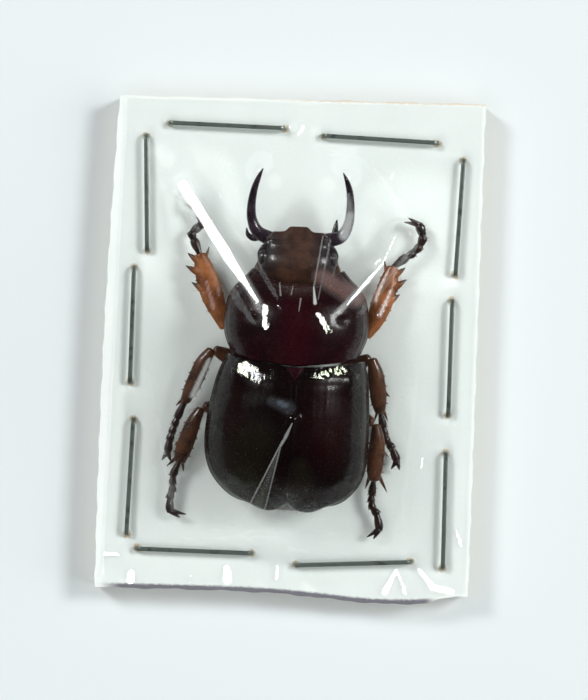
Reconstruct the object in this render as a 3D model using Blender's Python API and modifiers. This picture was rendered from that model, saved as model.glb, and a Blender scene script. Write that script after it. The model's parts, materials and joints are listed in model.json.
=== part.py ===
"""A dried male chafer on a white card, under clear film held by ten staples.

Run with: blender --background --python part.py
Metres, +Z up. The card lies flat on z = 0 and the beetle's head points to +Y.
The sizes below are in millimetres and are multiplied by mm.
"""
import math

import bmesh
import bpy
import numpy as np
from mathutils import Matrix, Vector
from mathutils.bvhtree import BVHTree

mm = 0.001
GAP = 0.3

# Card: a hand-cut board, a little out of square
CARD_CORNERS = ((-19.10, 26.10), (19.97, 26.50), (19.95, -26.10), (-19.98, -26.50))
CARD_THICK = 3.2

# Staples, of common 26/6 office size: middle of the crown and its turn in degrees
STAPLE_CROWN = 12.8
STAPLE_WIRE = 0.5
STAPLE_FOOT = 2.6
STAPLE_BEND = 0.55
STAPLES = {
    "staple_top_left": (-7.55, 23.20, -0.8),
    "staple_top_right": (8.85, 22.30, -1.6),
    "staple_right_upper": (17.55, 14.30, 88.0),
    "staple_right_middle": (17.10, -0.70, 90.0),
    "staple_right_lower": (17.05, -17.00, 90.5),
    "staple_bottom_right": (7.55, -22.95, 3.6),
    "staple_bottom_left": (-9.45, -22.20, -0.4),
    "staple_left_lower": (-16.55, -14.55, 88.6),
    "staple_left_middle": (-16.90, 1.65, 90.0),
    "staple_left_upper": (-15.85, 15.75, 92.5),
}

# Film
FILM_THICK = 0.4
FILM_INSET = 0.5
FILM_CELL = 1.6
FILM_CLEAR = 0.45
FILM_SAMPLE = 0.4
FILM_RIM_X = 15.25
FILM_RIM_Y = 21.4

# Heights above the card: the keel of the belly, and the top of the underside plates
BELLY = 0.35
DECK = 2.98

# Pronotum: distance behind the front angles, half width, middle height, edge height
PRONOTUM = (
    (0.0, 4.75, 6.5, 4.9),
    (0.9, 5.55, 7.2, 4.7),
    (1.9, 6.55, 7.9, 4.5),
    (3.2, 7.25, 8.5, 4.3),
    (5.0, 7.52, 8.9, 4.3),
    (6.8, 7.45, 9.0, 4.4),
    (8.4, 6.85, 8.9, 4.6),
    (9.2, 6.45, 8.7, 4.8),
)
PRONOTUM_FRONT = 7.95
PRONOTUM_X = 0.6
FRONT_HOLLOW = 1.5
REAR_LOBE = 0.75
SHELL_SHARE = 0.74

# Elytra: distance behind the base, half width, suture height, edge height
ELYTRA = (
    (0.0, 7.15, 8.5, 4.7),
    (1.1, 7.65, 9.1, 4.4),
    (3.0, 8.10, 9.6, 4.0),
    (5.5, 8.42, 9.9, 3.8),
    (8.6, 8.58, 9.8, 3.7),
    (10.7, 8.35, 9.2, 3.7),
    (12.4, 7.70, 8.2, 3.8),
    (14.0, 6.40, 6.7, 3.9),
    (14.9, 5.20, 5.6, 3.9),
    (15.3, 4.20, 4.9, 3.9),
)
HIND_PIVOT = (0.66, -1.80)
HIND_TURN = -1.5
HIND_LEAN = 0.45
BASE_BACK = 0.45
BASE_CURVE = 0.95
# A bump's distance behind the base, share of the width, height, length and breadth
SHOULDER = (1.7, 0.78, 0.40, 1.26, 0.141)
END_KNOB = (12.2, 0.68, 0.30, 1.10, 0.158)
EDGE_THICK = 0.42

# Scutellum: half width, length, its front edge behind the pivot, top and underside
SCUTELLUM = (0.72, 1.9, 0.50, 8.95, 7.6)

# Underside plates: front edge, length, half width, keel height and side height
PROTHORAX = (5.9, 6.6, 5.6, 0.95, 3.0)
STERNUM = (-0.55, 7.5, 7.2, BELLY, 3.0)
ABDOMEN = (-8.4, 5.7, 7.7, 0.75, 3.0)
ABDOMEN_RINGS = 5
PYGIDIUM = (0.0, -15.15, 1.9)
PYGIDIUM_SIZE = (3.3, 0.38, 1.15)
PYGIDIUM_TILT = -18.0

# Coxae, the sockets that the legs grow from, by distance from the middle line
COXAE = {
    "fore": ((0.7, 3.00, 1.70, 0.75, 0.70), (1.6, 2.85, 1.40, 0.70, 0.60),
             (2.5, 2.65, 1.20, 0.45, 0.40)),
    "middle": ((0.9, -1.10, 1.05, 0.65, 0.45), (2.2, -0.95, 1.15, 0.70, 0.50),
               (3.5, -0.75, 1.25, 0.45, 0.38)),
    "hind": ((0.5, -6.30, 0.95, 0.80, 0.45), (2.2, -6.10, 1.05, 0.95, 0.50),
             (3.6, -5.75, 1.15, 0.60, 0.42)),
}

# Head: place along the body, half width, lowest and highest point
HEAD = (
    (6.30, 3.20, 2.90, 5.00),
    (7.30, 3.75, 2.50, 5.60),
    (8.30, 4.00, 2.35, 6.00),
    (9.30, 3.85, 2.40, 5.90),
    (10.10, 3.50, 2.60, 5.50),
    (10.75, 3.30, 2.90, 5.05),
)
HEAD_X = 0.5
CLYPEUS = (
    (-3.30, 11.05), (-3.42, 11.60), (-2.95, 11.95), (-1.45, 11.95), (-1.05, 12.50),
    (0.85, 12.55), (1.25, 12.05), (2.85, 11.95), (3.30, 11.60), (3.25, 11.05),
)
CLYPEUS_LOW = 4.0
CLYPEUS_THICK = 0.9
CLYPEUS_SLOPE = 0.35
EYE = (3.62, 9.15, 4.35)
EYE_SIZE = (0.62, 0.95, 0.85)

# Feelers and mouth, by distance from the head's middle line
ANTENNA_SHAFT = ((2.30, 10.3, 1.95, 0.26, 0.26), (3.00, 10.5, 1.75, 0.30, 0.30),
                 (3.60, 10.0, 1.55, 0.24, 0.24), (3.95, 9.3, 1.45, 0.22, 0.22),
                 (4.05, 8.7, 1.40, 0.28, 0.28))
ANTENNA_CLUB = ((4.05, 8.85, 0.22, 0.22, 0.00), (4.10, 8.10, 0.42, 0.21, 0.34),
                (4.15, 7.20, 0.40, 0.21, 0.62), (4.20, 6.60, 0.18, 0.18, 0.65))
CLUB_HEIGHT = 1.37
MENTUM = ((0.0, 8.0, 1.55, 1.2, 0.35), (0.0, 9.2, 1.55, 1.5, 0.45),
          (0.0, 10.4, 1.60, 1.2, 0.40), (0.0, 11.1, 1.70, 0.7, 0.30))
JAW_PALP = ((0.9, 10.2, 1.45, 0.24, 0.24), (1.6, 11.2, 1.35, 0.24, 0.24),
            (1.9, 12.2, 1.30, 0.24, 0.24), (1.8, 13.2, 1.30, 0.10, 0.10))
LIP_PALP = ((0.4, 10.8, 1.50, 0.20, 0.20), (0.6, 11.6, 1.30, 0.20, 0.20),
            (0.55, 12.3, 1.25, 0.09, 0.09))

# Mandibles: x, y, height, half width, half thickness along each branch
MANDIBLES = {
    "mandible_left": (
        ((-2.45, 11.20, 3.00, 0.78, 0.55), (-3.80, 11.90, 3.05, 0.66, 0.52),
         (-4.48, 13.20, 3.20, 0.52, 0.46), (-4.58, 14.80, 3.60, 0.44, 0.40),
         (-4.32, 16.40, 4.15, 0.36, 0.33), (-3.90, 17.60, 4.60, 0.25, 0.24),
         (-3.48, 18.50, 4.90, 0.10, 0.10)),
        ((-3.30, 11.60, 2.80, 0.40, 0.35), (-4.20, 11.25, 2.55, 0.34, 0.30),
         (-4.85, 11.60, 2.45, 0.24, 0.22), (-5.05, 12.25, 2.45, 0.08, 0.08)),
    ),
    "mandible_right": (
        ((3.45, 11.20, 3.00, 0.78, 0.55), (5.00, 11.70, 3.05, 0.66, 0.52),
         (5.70, 13.00, 3.20, 0.52, 0.46), (5.86, 14.60, 3.60, 0.44, 0.40),
         (5.74, 16.20, 4.15, 0.36, 0.33), (5.40, 17.40, 4.60, 0.25, 0.24),
         (4.96, 18.30, 4.90, 0.10, 0.10)),
        ((4.50, 11.50, 2.80, 0.42, 0.36), (4.35, 12.10, 2.50, 0.34, 0.30),
         (4.40, 12.80, 2.40, 0.24, 0.22), (4.50, 13.45, 2.40, 0.08, 0.08)),
    ),
}

# Legs. A limb's stations are x, y, height, half width, half thickness.
# A spine is its root, its tip and its root radius. Tarsus points are the joints,
# the last of them the root of the claws, and claws give the two tips.
LEGS = {
    "left_fore": {
        "femur": ((-2.35, 2.60, 1.25, 0.60, 0.50), (-4.10, 2.20, 1.70, 0.95, 0.60),
                  (-5.65, 1.75, 2.10, 0.85, 0.58), (-6.65, 1.40, 2.35, 0.50, 0.45)),
        "tibia": ((-7.15, 1.75, 2.40, 0.42, 0.40), (-7.70, 3.30, 2.35, 0.85, 0.50),
                  (-8.35, 4.90, 2.20, 1.12, 0.50), (-8.95, 6.50, 2.00, 1.12, 0.45),
                  (-9.50, 8.10, 1.80, 0.92, 0.42), (-9.85, 9.20, 1.70, 0.66, 0.40)),
        "spines": (((-9.30, 5.50, 2.1), (-10.65, 6.35, 1.9), 0.42),
                   ((-9.80, 7.30, 1.9), (-11.35, 8.10, 1.7), 0.46),
                   ((-10.10, 8.60, 1.8), (-11.20, 9.45, 1.6), 0.40),
                   ((-9.30, 9.00, 1.6), (-8.95, 10.20, 1.3), 0.20)),
        "tarsus": ((-10.20, 9.85, 1.55), (-10.75, 10.85, 1.35), (-10.35, 11.45, 1.25),
                   (-9.85, 11.95, 1.20), (-9.95, 12.55, 1.15), (-10.55, 13.90, 1.10)),
        "claws": ((-12.60, 14.45, 0.80), (-12.50, 15.30, 0.90)),
    },
    "right_fore": {
        "femur": ((3.55, 2.60, 1.25, 0.60, 0.50), (5.20, 2.20, 1.70, 0.95, 0.60),
                  (6.70, 1.50, 2.10, 0.85, 0.58), (7.70, 1.05, 2.35, 0.50, 0.45)),
        "tibia": ((8.20, 1.35, 2.40, 0.42, 0.40), (8.90, 2.90, 2.35, 0.85, 0.50),
                  (9.45, 4.50, 2.20, 1.08, 0.50), (9.95, 6.00, 2.00, 1.05, 0.45),
                  (10.30, 7.40, 1.80, 0.90, 0.42), (10.55, 8.60, 1.70, 0.60, 0.40)),
        "spines": (((10.25, 4.90, 2.1), (11.45, 5.85, 1.9), 0.42),
                   ((10.80, 6.50, 1.9), (12.10, 7.45, 1.7), 0.46),
                   ((10.80, 7.80, 1.8), (11.95, 8.70, 1.6), 0.40),
                   ((9.90, 8.20, 1.6), (9.70, 9.40, 1.3), 0.20)),
        "tarsus": ((10.75, 9.15, 1.55), (11.60, 9.95, 1.40), (12.30, 10.40, 1.30),
                   (12.95, 10.85, 1.20), (13.40, 11.50, 1.15), (13.00, 13.40, 1.10)),
        "claws": ((12.05, 14.15, 0.80), (10.90, 14.10, 0.90)),
    },
    "left_middle": {
        "femur": ((-3.70, -2.60, 0.95, 0.60, 0.42), (-5.30, -1.90, 1.15, 0.85, 0.48),
                  (-6.80, -1.25, 1.55, 0.80, 0.48), (-7.85, -0.75, 2.05, 0.52, 0.42)),
        "tibia": ((-8.38, -0.85, 2.30, 0.45, 0.42), (-9.25, -2.10, 2.25, 0.62, 0.48),
                  (-9.85, -3.60, 2.05, 0.70, 0.48), (-10.40, -5.00, 1.80, 0.68, 0.45),
                  (-10.90, -6.20, 1.60, 0.52, 0.40)),
        "spines": (((-10.15, -4.00, 2.0), (-11.10, -4.70, 1.8), 0.24),
                   ((-10.80, -5.70, 1.6), (-11.90, -6.80, 1.2), 0.26),
                   ((-10.70, -6.00, 1.6), (-11.25, -7.60, 1.1), 0.24)),
        "tarsus": ((-11.25, -6.85, 1.45), (-11.65, -7.95, 1.30), (-11.95, -8.80, 1.20),
                   (-12.20, -9.60, 1.15), (-12.40, -10.35, 1.10), (-12.60, -11.70, 1.00)),
        "claws": ((-13.25, -12.75, 0.75), (-12.15, -12.90, 0.80)),
    },
    "right_middle": {
        "femur": ((5.00, -2.70, 0.95, 0.60, 0.42), (6.40, -2.10, 1.15, 0.85, 0.48),
                  (7.55, -1.55, 1.55, 0.80, 0.48), (8.35, -1.05, 2.05, 0.52, 0.42)),
        "tibia": ((8.88, -1.25, 2.30, 0.45, 0.42), (9.35, -2.60, 2.25, 0.62, 0.48),
                  (9.62, -4.10, 2.05, 0.68, 0.48), (9.80, -5.50, 1.80, 0.64, 0.45),
                  (9.90, -6.60, 1.60, 0.50, 0.40)),
        "spines": (((9.95, -4.30, 2.0), (10.75, -5.05, 1.8), 0.24),
                   ((10.00, -6.10, 1.6), (10.65, -7.60, 1.2), 0.24),
                   ((9.60, -6.30, 1.6), (9.25, -7.70, 1.1), 0.22)),
        "tarsus": ((9.98, -7.25, 1.45), (10.20, -8.20, 1.30), (10.40, -9.00, 1.20),
                   (10.65, -9.75, 1.15), (11.20, -10.45, 1.10), (11.78, -11.75, 1.00)),
        "claws": ((11.15, -12.85, 0.75), (12.15, -12.90, 0.80)),
    },
    "left_hind": {
        "femur": ((-3.80, -7.20, 0.90, 0.70, 0.42), (-5.60, -7.20, 1.10, 1.10, 0.50),
                  (-7.40, -7.00, 1.45, 0.95, 0.50), (-8.75, -6.75, 1.85, 0.55, 0.44)),
        "tibia": ((-9.30, -7.15, 2.00, 0.48, 0.44), (-9.90, -8.40, 1.95, 0.72, 0.50),
                  (-10.45, -10.00, 1.80, 0.84, 0.52), (-10.95, -11.50, 1.60, 0.82, 0.50),
                  (-11.25, -12.60, 1.45, 0.62, 0.45)),
        "spines": (((-10.90, -10.20, 1.8), (-11.85, -10.95, 1.6), 0.24),
                   ((-11.30, -12.00, 1.5), (-12.65, -13.25, 1.1), 0.26),
                   ((-11.00, -12.30, 1.4), (-10.85, -13.75, 1.0), 0.24)),
        "tarsus": ((-11.60, -13.20, 1.35), (-11.95, -14.20, 1.25), (-11.95, -15.05, 1.15),
                   (-11.95, -15.85, 1.10), (-12.20, -16.60, 1.05), (-12.15, -17.95, 1.00)),
        "claws": ((-10.95, -18.75, 0.75), (-10.25, -18.35, 0.80)),
    },
    "right_hind": {
        "femur": ((5.00, -7.30, 0.90, 0.70, 0.42), (6.50, -7.40, 1.10, 1.10, 0.50),
                  (7.90, -7.55, 1.45, 0.95, 0.50), (8.90, -7.75, 1.85, 0.55, 0.44)),
        "tibia": ((9.45, -8.25, 2.00, 0.48, 0.44), (9.60, -9.60, 1.95, 0.74, 0.50),
                  (9.55, -11.20, 1.80, 0.86, 0.52), (9.45, -12.70, 1.60, 0.82, 0.50),
                  (9.40, -13.80, 1.45, 0.62, 0.45)),
        "spines": (((9.95, -10.60, 1.8), (10.85, -11.40, 1.6), 0.24),
                   ((9.80, -13.20, 1.5), (10.85, -15.20, 1.0), 0.26),
                   ((9.00, -13.40, 1.4), (8.55, -14.90, 1.0), 0.24)),
        "tarsus": ((9.35, -14.45, 1.35), (9.25, -15.45, 1.25), (9.20, -16.20, 1.15),
                   (9.35, -16.90, 1.10), (9.85, -17.50, 1.05), (10.20, -19.10, 1.00)),
        "claws": ((9.55, -20.35, 0.75), (8.75, -20.15, 0.85)),
    },
}

SPINE_TIP = 0.07
SEGMENT = (0.30, 0.25)
CLAW_ARCH = 0.35

COLOURS = {
    "card": ((0.86, 0.89, 0.85, 1.0), 0.75, 0.0),
    "film": ((0.95, 0.97, 1.0, 0.25), 0.08, 0.0),
    "staple": ((0.62, 0.62, 0.62, 1.0), 0.25, 1.0),
    "wine": ((0.10, 0.012, 0.014, 1.0), 0.18, 0.0),
    "brown": ((0.16, 0.065, 0.035, 1.0), 0.35, 0.0),
    "dark": ((0.022, 0.012, 0.020, 1.0), 0.25, 0.0),
    "elytra": ((0.075, 0.016, 0.016, 1.0), 0.25, 0.0),
    "tibia": ((0.34, 0.10, 0.028, 1.0), 0.30, 0.0),
    "under": ((0.12, 0.045, 0.025, 1.0), 0.45, 0.0),
    "eye": ((0.012, 0.010, 0.012, 1.0), 0.12, 0.0),
}


def clear_scene():
    for old in list(bpy.data.objects):
        bpy.data.objects.remove(old, do_unlink=True)


def make_collection(name):
    made = bpy.data.collections.new(name)
    bpy.context.scene.collection.children.link(made)
    return made


def make_material(name, look):
    colour, roughness, metallic = COLOURS[look]
    mat = bpy.data.materials.new(name)
    mat.use_nodes = True
    shader = mat.node_tree.nodes["Principled BSDF"]
    shader.inputs["Base Color"].default_value = colour
    shader.inputs["Roughness"].default_value = roughness
    shader.inputs["Metallic"].default_value = metallic
    shader.inputs["Alpha"].default_value = colour[3]
    return mat


def finish_node(obj, look, smooth=35.0):
    obj.data.materials.clear()
    obj.data.materials.append(make_material(obj.name, look))
    if smooth:
        obj.data.shade_smooth()
        obj.data.set_sharp_from_angle(angle=math.radians(smooth))
    return obj


def to_object(name, bm, group):
    bmesh.ops.recalc_face_normals(bm, faces=bm.faces)
    mesh = bpy.data.meshes.new(name)
    bm.to_mesh(mesh)
    bm.free()
    obj = bpy.data.objects.new(name, mesh)
    group.objects.link(obj)
    return obj


def largest_part(mesh):
    """Keeps the largest closed surface of a mesh that was fused or cut."""
    bm = bmesh.new()
    bm.from_mesh(mesh)
    bm.verts.ensure_lookup_table()
    seen, best = set(), []
    for start in bm.verts:
        if start.index in seen:
            continue
        shell, stack = [], [start]
        seen.add(start.index)
        while stack:
            vert = stack.pop()
            shell.append(vert)
            for edge in vert.link_edges:
                other = edge.other_vert(vert)
                if other.index not in seen:
                    seen.add(other.index)
                    stack.append(other)
        if len(shell) > len(best):
            best = shell
    keep = set(best)
    bmesh.ops.delete(bm, geom=[v for v in bm.verts if v not in keep], context="VERTS")
    bm.to_mesh(mesh)
    bm.free()


def apply_boolean(obj, tools, operation, solver="EXACT"):
    """Joins or cuts obj with every object of the collection tools, then removes them."""
    mod = obj.modifiers.new("boolean", "BOOLEAN")
    mod.operation = operation
    mod.solver = solver
    mod.operand_type = "COLLECTION"
    mod.collection = tools
    bpy.context.view_layer.update()
    graph = bpy.context.evaluated_depsgraph_get()
    mesh = bpy.data.meshes.new_from_object(obj.evaluated_get(graph))
    obj.modifiers.clear()
    obj.data = mesh
    largest_part(mesh)
    for tool in list(tools.objects):
        bpy.data.objects.remove(tool, do_unlink=True)
    bpy.data.collections.remove(tools)


def fuse(name, pieces, look):
    tools = make_collection(name + "_pieces")
    for piece in pieces[1:]:
        parts.objects.unlink(piece)
        tools.objects.link(piece)
    body = pieces[0]
    body.name = name
    if len(pieces) > 1:
        apply_boolean(body, tools, "UNION")
    return finish_node(body, look)


def spline(rows, count):
    """Catmull-Rom through rows of numbers, count steps to a span."""
    rows = [np.array(r, float) for r in rows]
    ends = [2 * rows[0] - rows[1]] + rows + [2 * rows[-1] - rows[-2]]
    out = []
    for i in range(1, len(ends) - 2):
        a, b, c, d = ends[i - 1:i + 3]
        for k in range(count):
            t = k / count
            out.append(0.5 * (2 * b + (c - a) * t + (2 * a - 5 * b + 4 * c - d) * t * t
                              + (3 * b - a - 3 * c + d) * t ** 3))
    out.append(rows[-1])
    return out


def limb(name, stations, sides=8, count=2):
    """A closed tapered tube through x, y, height, half width, half thickness."""
    rows = spline(stations, count)
    points = [Vector((r[0], r[1], r[2] + CARD_THICK)) for r in rows]
    bm = bmesh.new()
    rings = []
    for i, row in enumerate(rows):
        along = (points[min(i + 1, len(rows) - 1)] - points[max(i - 1, 0)]).normalized()
        side = along.cross(Vector((0, 0, 1))).normalized()
        over = side.cross(along).normalized()
        ring = []
        for k in range(sides):
            turn = 2 * math.pi * (k + 0.5) / sides
            c, s = math.cos(turn), math.sin(turn)
            at = points[i] + side * row[3] * c + over * row[4] * s
            ring.append(bm.verts.new(at * mm))
        rings.append(ring)
    for low, high in zip(rings, rings[1:]):
        for k in range(sides):
            bm.faces.new((low[k], low[(k + 1) % sides], high[(k + 1) % sides], high[k]))
    bm.faces.new(rings[0])
    bm.faces.new(rings[-1])
    return to_object(name, bm, parts)


def spike(name, root, tip, radius):
    """A tapered spine, its root sunk in what it grows from."""
    middle = [(a + b) / 2 for a, b in zip(root, tip)]
    rows = [(*root, radius, radius), (*middle, radius * 0.66, radius * 0.66),
            (*tip, SPINE_TIP, SPINE_TIP)]
    return limb(name, rows, 6, 1)


def pillow(name, plan, top, bottom, rows, cols):
    """A closed body between a top and a bottom surface over the same plan.

    plan(u, v) gives x and y for u and v from 0 to 1, and top and bottom give the
    heights above the card for u, v, x and y.
    """
    bm = bmesh.new()
    upper, lower = [], []
    for i in range(rows + 1):
        upper.append([])
        lower.append([])
        for j in range(cols + 1):
            u, v = i / rows, j / cols
            x, y = plan(u, v)
            high, low = top(u, v, x, y), bottom(u, v, x, y)
            upper[i].append(bm.verts.new((x * mm, y * mm, (high + CARD_THICK) * mm)))
            lower[i].append(bm.verts.new((x * mm, y * mm, (low + CARD_THICK) * mm)))
    for i in range(rows):
        for j in range(cols):
            for grid in (upper, lower):
                bm.faces.new((grid[i][j], grid[i + 1][j], grid[i + 1][j + 1], grid[i][j + 1]))
    rim = [(i, 0) for i in range(rows + 1)] + [(rows, j) for j in range(1, cols + 1)]
    rim += [(i, cols) for i in range(rows - 1, -1, -1)] + [(0, j) for j in range(cols - 1, 0, -1)]
    for (i, j), (p, q) in zip(rim, rim[1:] + rim[:1]):
        bm.faces.new((upper[i][j], upper[p][q], lower[p][q], lower[i][j]))
    return to_object(name, bm, parts)


def read_table(table, distance, column):
    xs = [row[0] for row in table]
    ys = [row[column] for row in table]
    return float(np.interp(distance, xs, ys))


def dome(r, power):
    return max(0.0, 1 - min(1.0, abs(r)) ** power) ** 0.58


def bump(shape, s, r):
    at, across, height, length, breadth = shape
    return height * math.exp(-((s - at) / length) ** 2 - ((r - across) / breadth) ** 2)


pronotum_table = spline(PRONOTUM, 4)
elytra_table = spline(ELYTRA, 4)


# Card and staples

def staple_places():
    """The two leg positions of each staple and the way its feet point."""
    for name, (x, y, turn) in STAPLES.items():
        way = Vector((math.cos(math.radians(turn)), math.sin(math.radians(turn)), 0))
        middle = Vector((x, y, 0))
        reach = (STAPLE_CROWN - STAPLE_WIRE) / 2
        yield name, middle, way, reach


def cut_box(name, centre, size, turn, group):
    bm = bmesh.new()
    bmesh.ops.create_cube(bm, size=1)
    place = Matrix.Translation(Vector(centre) * mm) @ Matrix.Rotation(turn, 4, "Z")
    place = place @ Matrix.Diagonal((*[s * mm for s in size], 1))
    bmesh.ops.transform(bm, matrix=place, verts=bm.verts)
    cutter = to_object(name, bm, group)
    cutter.hide_render = True
    cutter.display_type = "WIRE"
    return cutter


def make_card():
    bm = bmesh.new()
    low = [bm.verts.new((x * mm, y * mm, 0)) for x, y in CARD_CORNERS]
    high = [bm.verts.new((x * mm, y * mm, CARD_THICK * mm)) for x, y in CARD_CORNERS]
    bm.faces.new(low)
    bm.faces.new(high)
    for i in range(4):
        bm.faces.new((low[i], low[(i + 1) % 4], high[(i + 1) % 4], high[i]))
    card = to_object("card", bm, parts)
    cutters = make_collection("card_cutters")
    slot = STAPLE_WIRE + 2 * GAP
    for name, middle, way, reach in staple_places():
        turn = math.atan2(way.y, way.x)
        for k, side in enumerate((-1, 1)):
            leg = middle + way * reach * side
            cut_box(f"{name}_slot_{k}", (leg.x, leg.y, CARD_THICK / 2),
                    (slot, slot, CARD_THICK + 2), turn, cutters)
            foot = leg - way * side * (STAPLE_FOOT / 2 + 0.1)
            cut_box(f"{name}_groove_{k}", (foot.x, foot.y, 0),
                    (STAPLE_FOOT + 0.2 + slot, slot + 0.04, 1.8), turn, cutters)
    apply_boolean(card, cutters, "DIFFERENCE")
    return finish_node(card, "card", 20)


def make_staple(name, middle, way, reach):
    """Crown over the film, legs through the card, feet bent in under it."""
    crown = CARD_THICK + GAP + FILM_THICK + GAP + STAPLE_WIRE / 2
    foot = GAP + STAPLE_WIRE / 2 - 0.2
    corners = ((-reach + STAPLE_FOOT, foot), (-reach, foot), (-reach, crown),
               (reach, crown), (reach, foot), (reach - STAPLE_FOOT, foot))
    path = [corners[0]]
    for before, at, after in zip(corners, corners[1:], corners[2:]):
        at, before, after = Vector(at), Vector(before), Vector(after)
        enter = at + (before - at).normalized() * STAPLE_BEND
        leave = at + (after - at).normalized() * STAPLE_BEND
        for t in (0.0, 0.5, 1.0):
            path.append(enter * (1 - t) ** 2 + at * 2 * t * (1 - t) + leave * t * t)
    path.append(corners[-1])
    curve = bpy.data.curves.new(name, "CURVE")
    curve.dimensions = "3D"
    curve.bevel_depth = STAPLE_WIRE / 2 * mm
    curve.bevel_resolution = 2
    curve.use_fill_caps = True
    line = curve.splines.new("POLY")
    line.points.add(len(path) - 1)
    for point, (along, height) in zip(line.points, path):
        at = middle + way * along + Vector((0, 0, height))
        point.co = (*(at * mm), 1)
    obj = bpy.data.objects.new(name, curve)
    parts.objects.link(obj)
    curve.materials.append(make_material(name, "staple"))
    return obj


# Fore body

def spread(v):
    """Columns from -1 to 1, closer together towards both edges."""
    return math.sin((v - 0.5) * math.pi)


def pronotum_plan(u, v):
    s = u * PRONOTUM[-1][0]
    r = spread(v)
    half = read_table(pronotum_table, s, 1)
    front = FRONT_HOLLOW * (1 - abs(r) ** 2.2) * (1 - u) ** 2
    rear = REAR_LOBE * (1 - abs(r) ** 1.6) * u ** 3
    return PRONOTUM_X + half * r, PRONOTUM_FRONT - s - front - rear


def pronotum_top(u, v, x, y):
    s = u * PRONOTUM[-1][0]
    middle, edge = read_table(pronotum_table, s, 2), read_table(pronotum_table, s, 3)
    return edge + (middle - edge) * dome(spread(v), 2.2)


def pronotum_bottom(u, v, x, y):
    edge = read_table(pronotum_table, u * PRONOTUM[-1][0], 3)
    share = SHELL_SHARE * max(0.0, 1 - u * 2.2)
    return edge - 0.5 + (pronotum_top(u, v, x, y) - edge) * share


def make_pronotum():
    body = pillow("pronotum", pronotum_plan, pronotum_top, pronotum_bottom, 11, 14)
    return finish_node(body, "wine")


def underside(name, shape, middle, plan_half, power, rows, cols, lift=None):
    """A plate under the body: flat on top, and keeled towards the middle line."""
    front, length, half, low, high = shape

    def plan(u, v):
        return middle(u) + plan_half(u) * half * spread(v), front - length * u

    def bottom(u, v, x, y):
        rise = low + (high - low) * min(1.0, abs(x - middle(u)) / half) ** power
        return min(DECK - 0.4, rise + (lift(u) if lift else 0))

    return pillow(name, plan, lambda u, v, x, y: DECK, bottom, rows, cols)


def coxae(place, middle):
    pieces = []
    for side in (-1, 1):
        rows = [(middle + side * r[0], *r[1:]) for r in COXAE[place]]
        pieces.append(limb(f"{place}_coxa_{side + 1}", rows, 8, 2))
    return pieces


def make_prothorax():
    def half(u):
        return 0.79 + 0.21 * math.sin(math.pi * min(1.0, u * 1.2) / 2)

    plate = underside("prothorax", PROTHORAX, lambda u: PRONOTUM_X, half, 1.3, 6, 12)
    return fuse("prothorax", [plate] + coxae("fore", PRONOTUM_X), "under")


def make_head():
    bm = bmesh.new()
    sides = 18
    rings = []
    for y, half, low, high in spline(HEAD, 2):
        ring = []
        for k in range(sides):
            turn = 2 * math.pi * (k + 0.5) / sides
            c, s = math.cos(turn), math.sin(turn)
            c = math.copysign(abs(c) ** 0.78, c)
            s = math.copysign(abs(s) ** 0.85, s)
            z = (low + high) / 2 + (high - low) / 2 * s + CARD_THICK
            ring.append(bm.verts.new(((HEAD_X + half * c) * mm, y * mm, z * mm)))
        rings.append(ring)
    for low, high in zip(rings, rings[1:]):
        for k in range(sides):
            bm.faces.new((low[k], low[(k + 1) % sides], high[(k + 1) % sides], high[k]))
    bm.faces.new(rings[0])
    bm.faces.new(rings[-1])
    head = to_object("head", bm, parts)
    sockets = make_collection("eye_sockets")
    for side in (-1, 1):
        cutter = make_eye_ball(f"socket_{side + 1}", side, GAP, sockets)
        cutter.hide_render = True
        cutter.display_type = "WIRE"
    apply_boolean(head, sockets, "DIFFERENCE")
    return finish_node(head, "brown")


def make_eye_ball(name, side, grow, group):
    bm = bmesh.new()
    bmesh.ops.create_uvsphere(bm, u_segments=12, v_segments=8, radius=1)
    centre = Vector((HEAD_X + side * EYE[0], EYE[1], EYE[2] + CARD_THICK))
    size = [(s + grow) * mm for s in EYE_SIZE]
    place = Matrix.Translation(centre * mm) @ Matrix.Diagonal((*size, 1))
    bmesh.ops.transform(bm, matrix=place, verts=bm.verts)
    return to_object(name, bm, group)


def make_clypeus():
    bm = bmesh.new()
    low = [bm.verts.new(((HEAD_X + x) * mm, y * mm, (CLYPEUS_LOW + CARD_THICK) * mm))
           for x, y in CLYPEUS]
    top = CLYPEUS_LOW + CLYPEUS_THICK + CARD_THICK
    high = []
    for x, y in CLYPEUS:
        drop = CLYPEUS_SLOPE * (y - CLYPEUS[0][1])
        high.append(bm.verts.new(((HEAD_X + x) * mm, y * mm, (top - drop) * mm)))
    bm.faces.new(low)
    bm.faces.new(high)
    for i in range(len(low)):
        n = (i + 1) % len(low)
        bm.faces.new((low[i], low[n], high[n], high[i]))
    bmesh.ops.triangulate(bm, faces=bm.faces)
    return finish_node(to_object("clypeus", bm, parts), "brown", 25)


def make_mandible(name):
    sickle, ramus = MANDIBLES[name]
    pieces = [limb(name + "_sickle", sickle, 9, 2), limb(name + "_ramus", ramus, 8, 2)]
    return fuse(name, pieces, "dark")


def beside(side, rows):
    """Moves stations given from the head's middle line to one side of it."""
    return [(HEAD_X + side * r[0], *r[1:]) for r in rows]


def make_antenna(side):
    """Scape and funicle under the head's edge, and a club of three plates."""
    name = "antenna_left" if side < 0 else "antenna_right"
    pieces = [limb(name + "_shaft", beside(side, ANTENNA_SHAFT), 8, 2)]
    for k in (-1, 0, 1):
        rows = [(x + 0.09 * (k + 1) * fan, y, CLUB_HEIGHT + k * fan, wide, thick)
                for x, y, wide, thick, fan in ANTENNA_CLUB]
        pieces.append(limb(f"{name}_plate_{k + 1}", beside(side, rows), 8, 1))
    return fuse(name, pieces, "dark")


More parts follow.
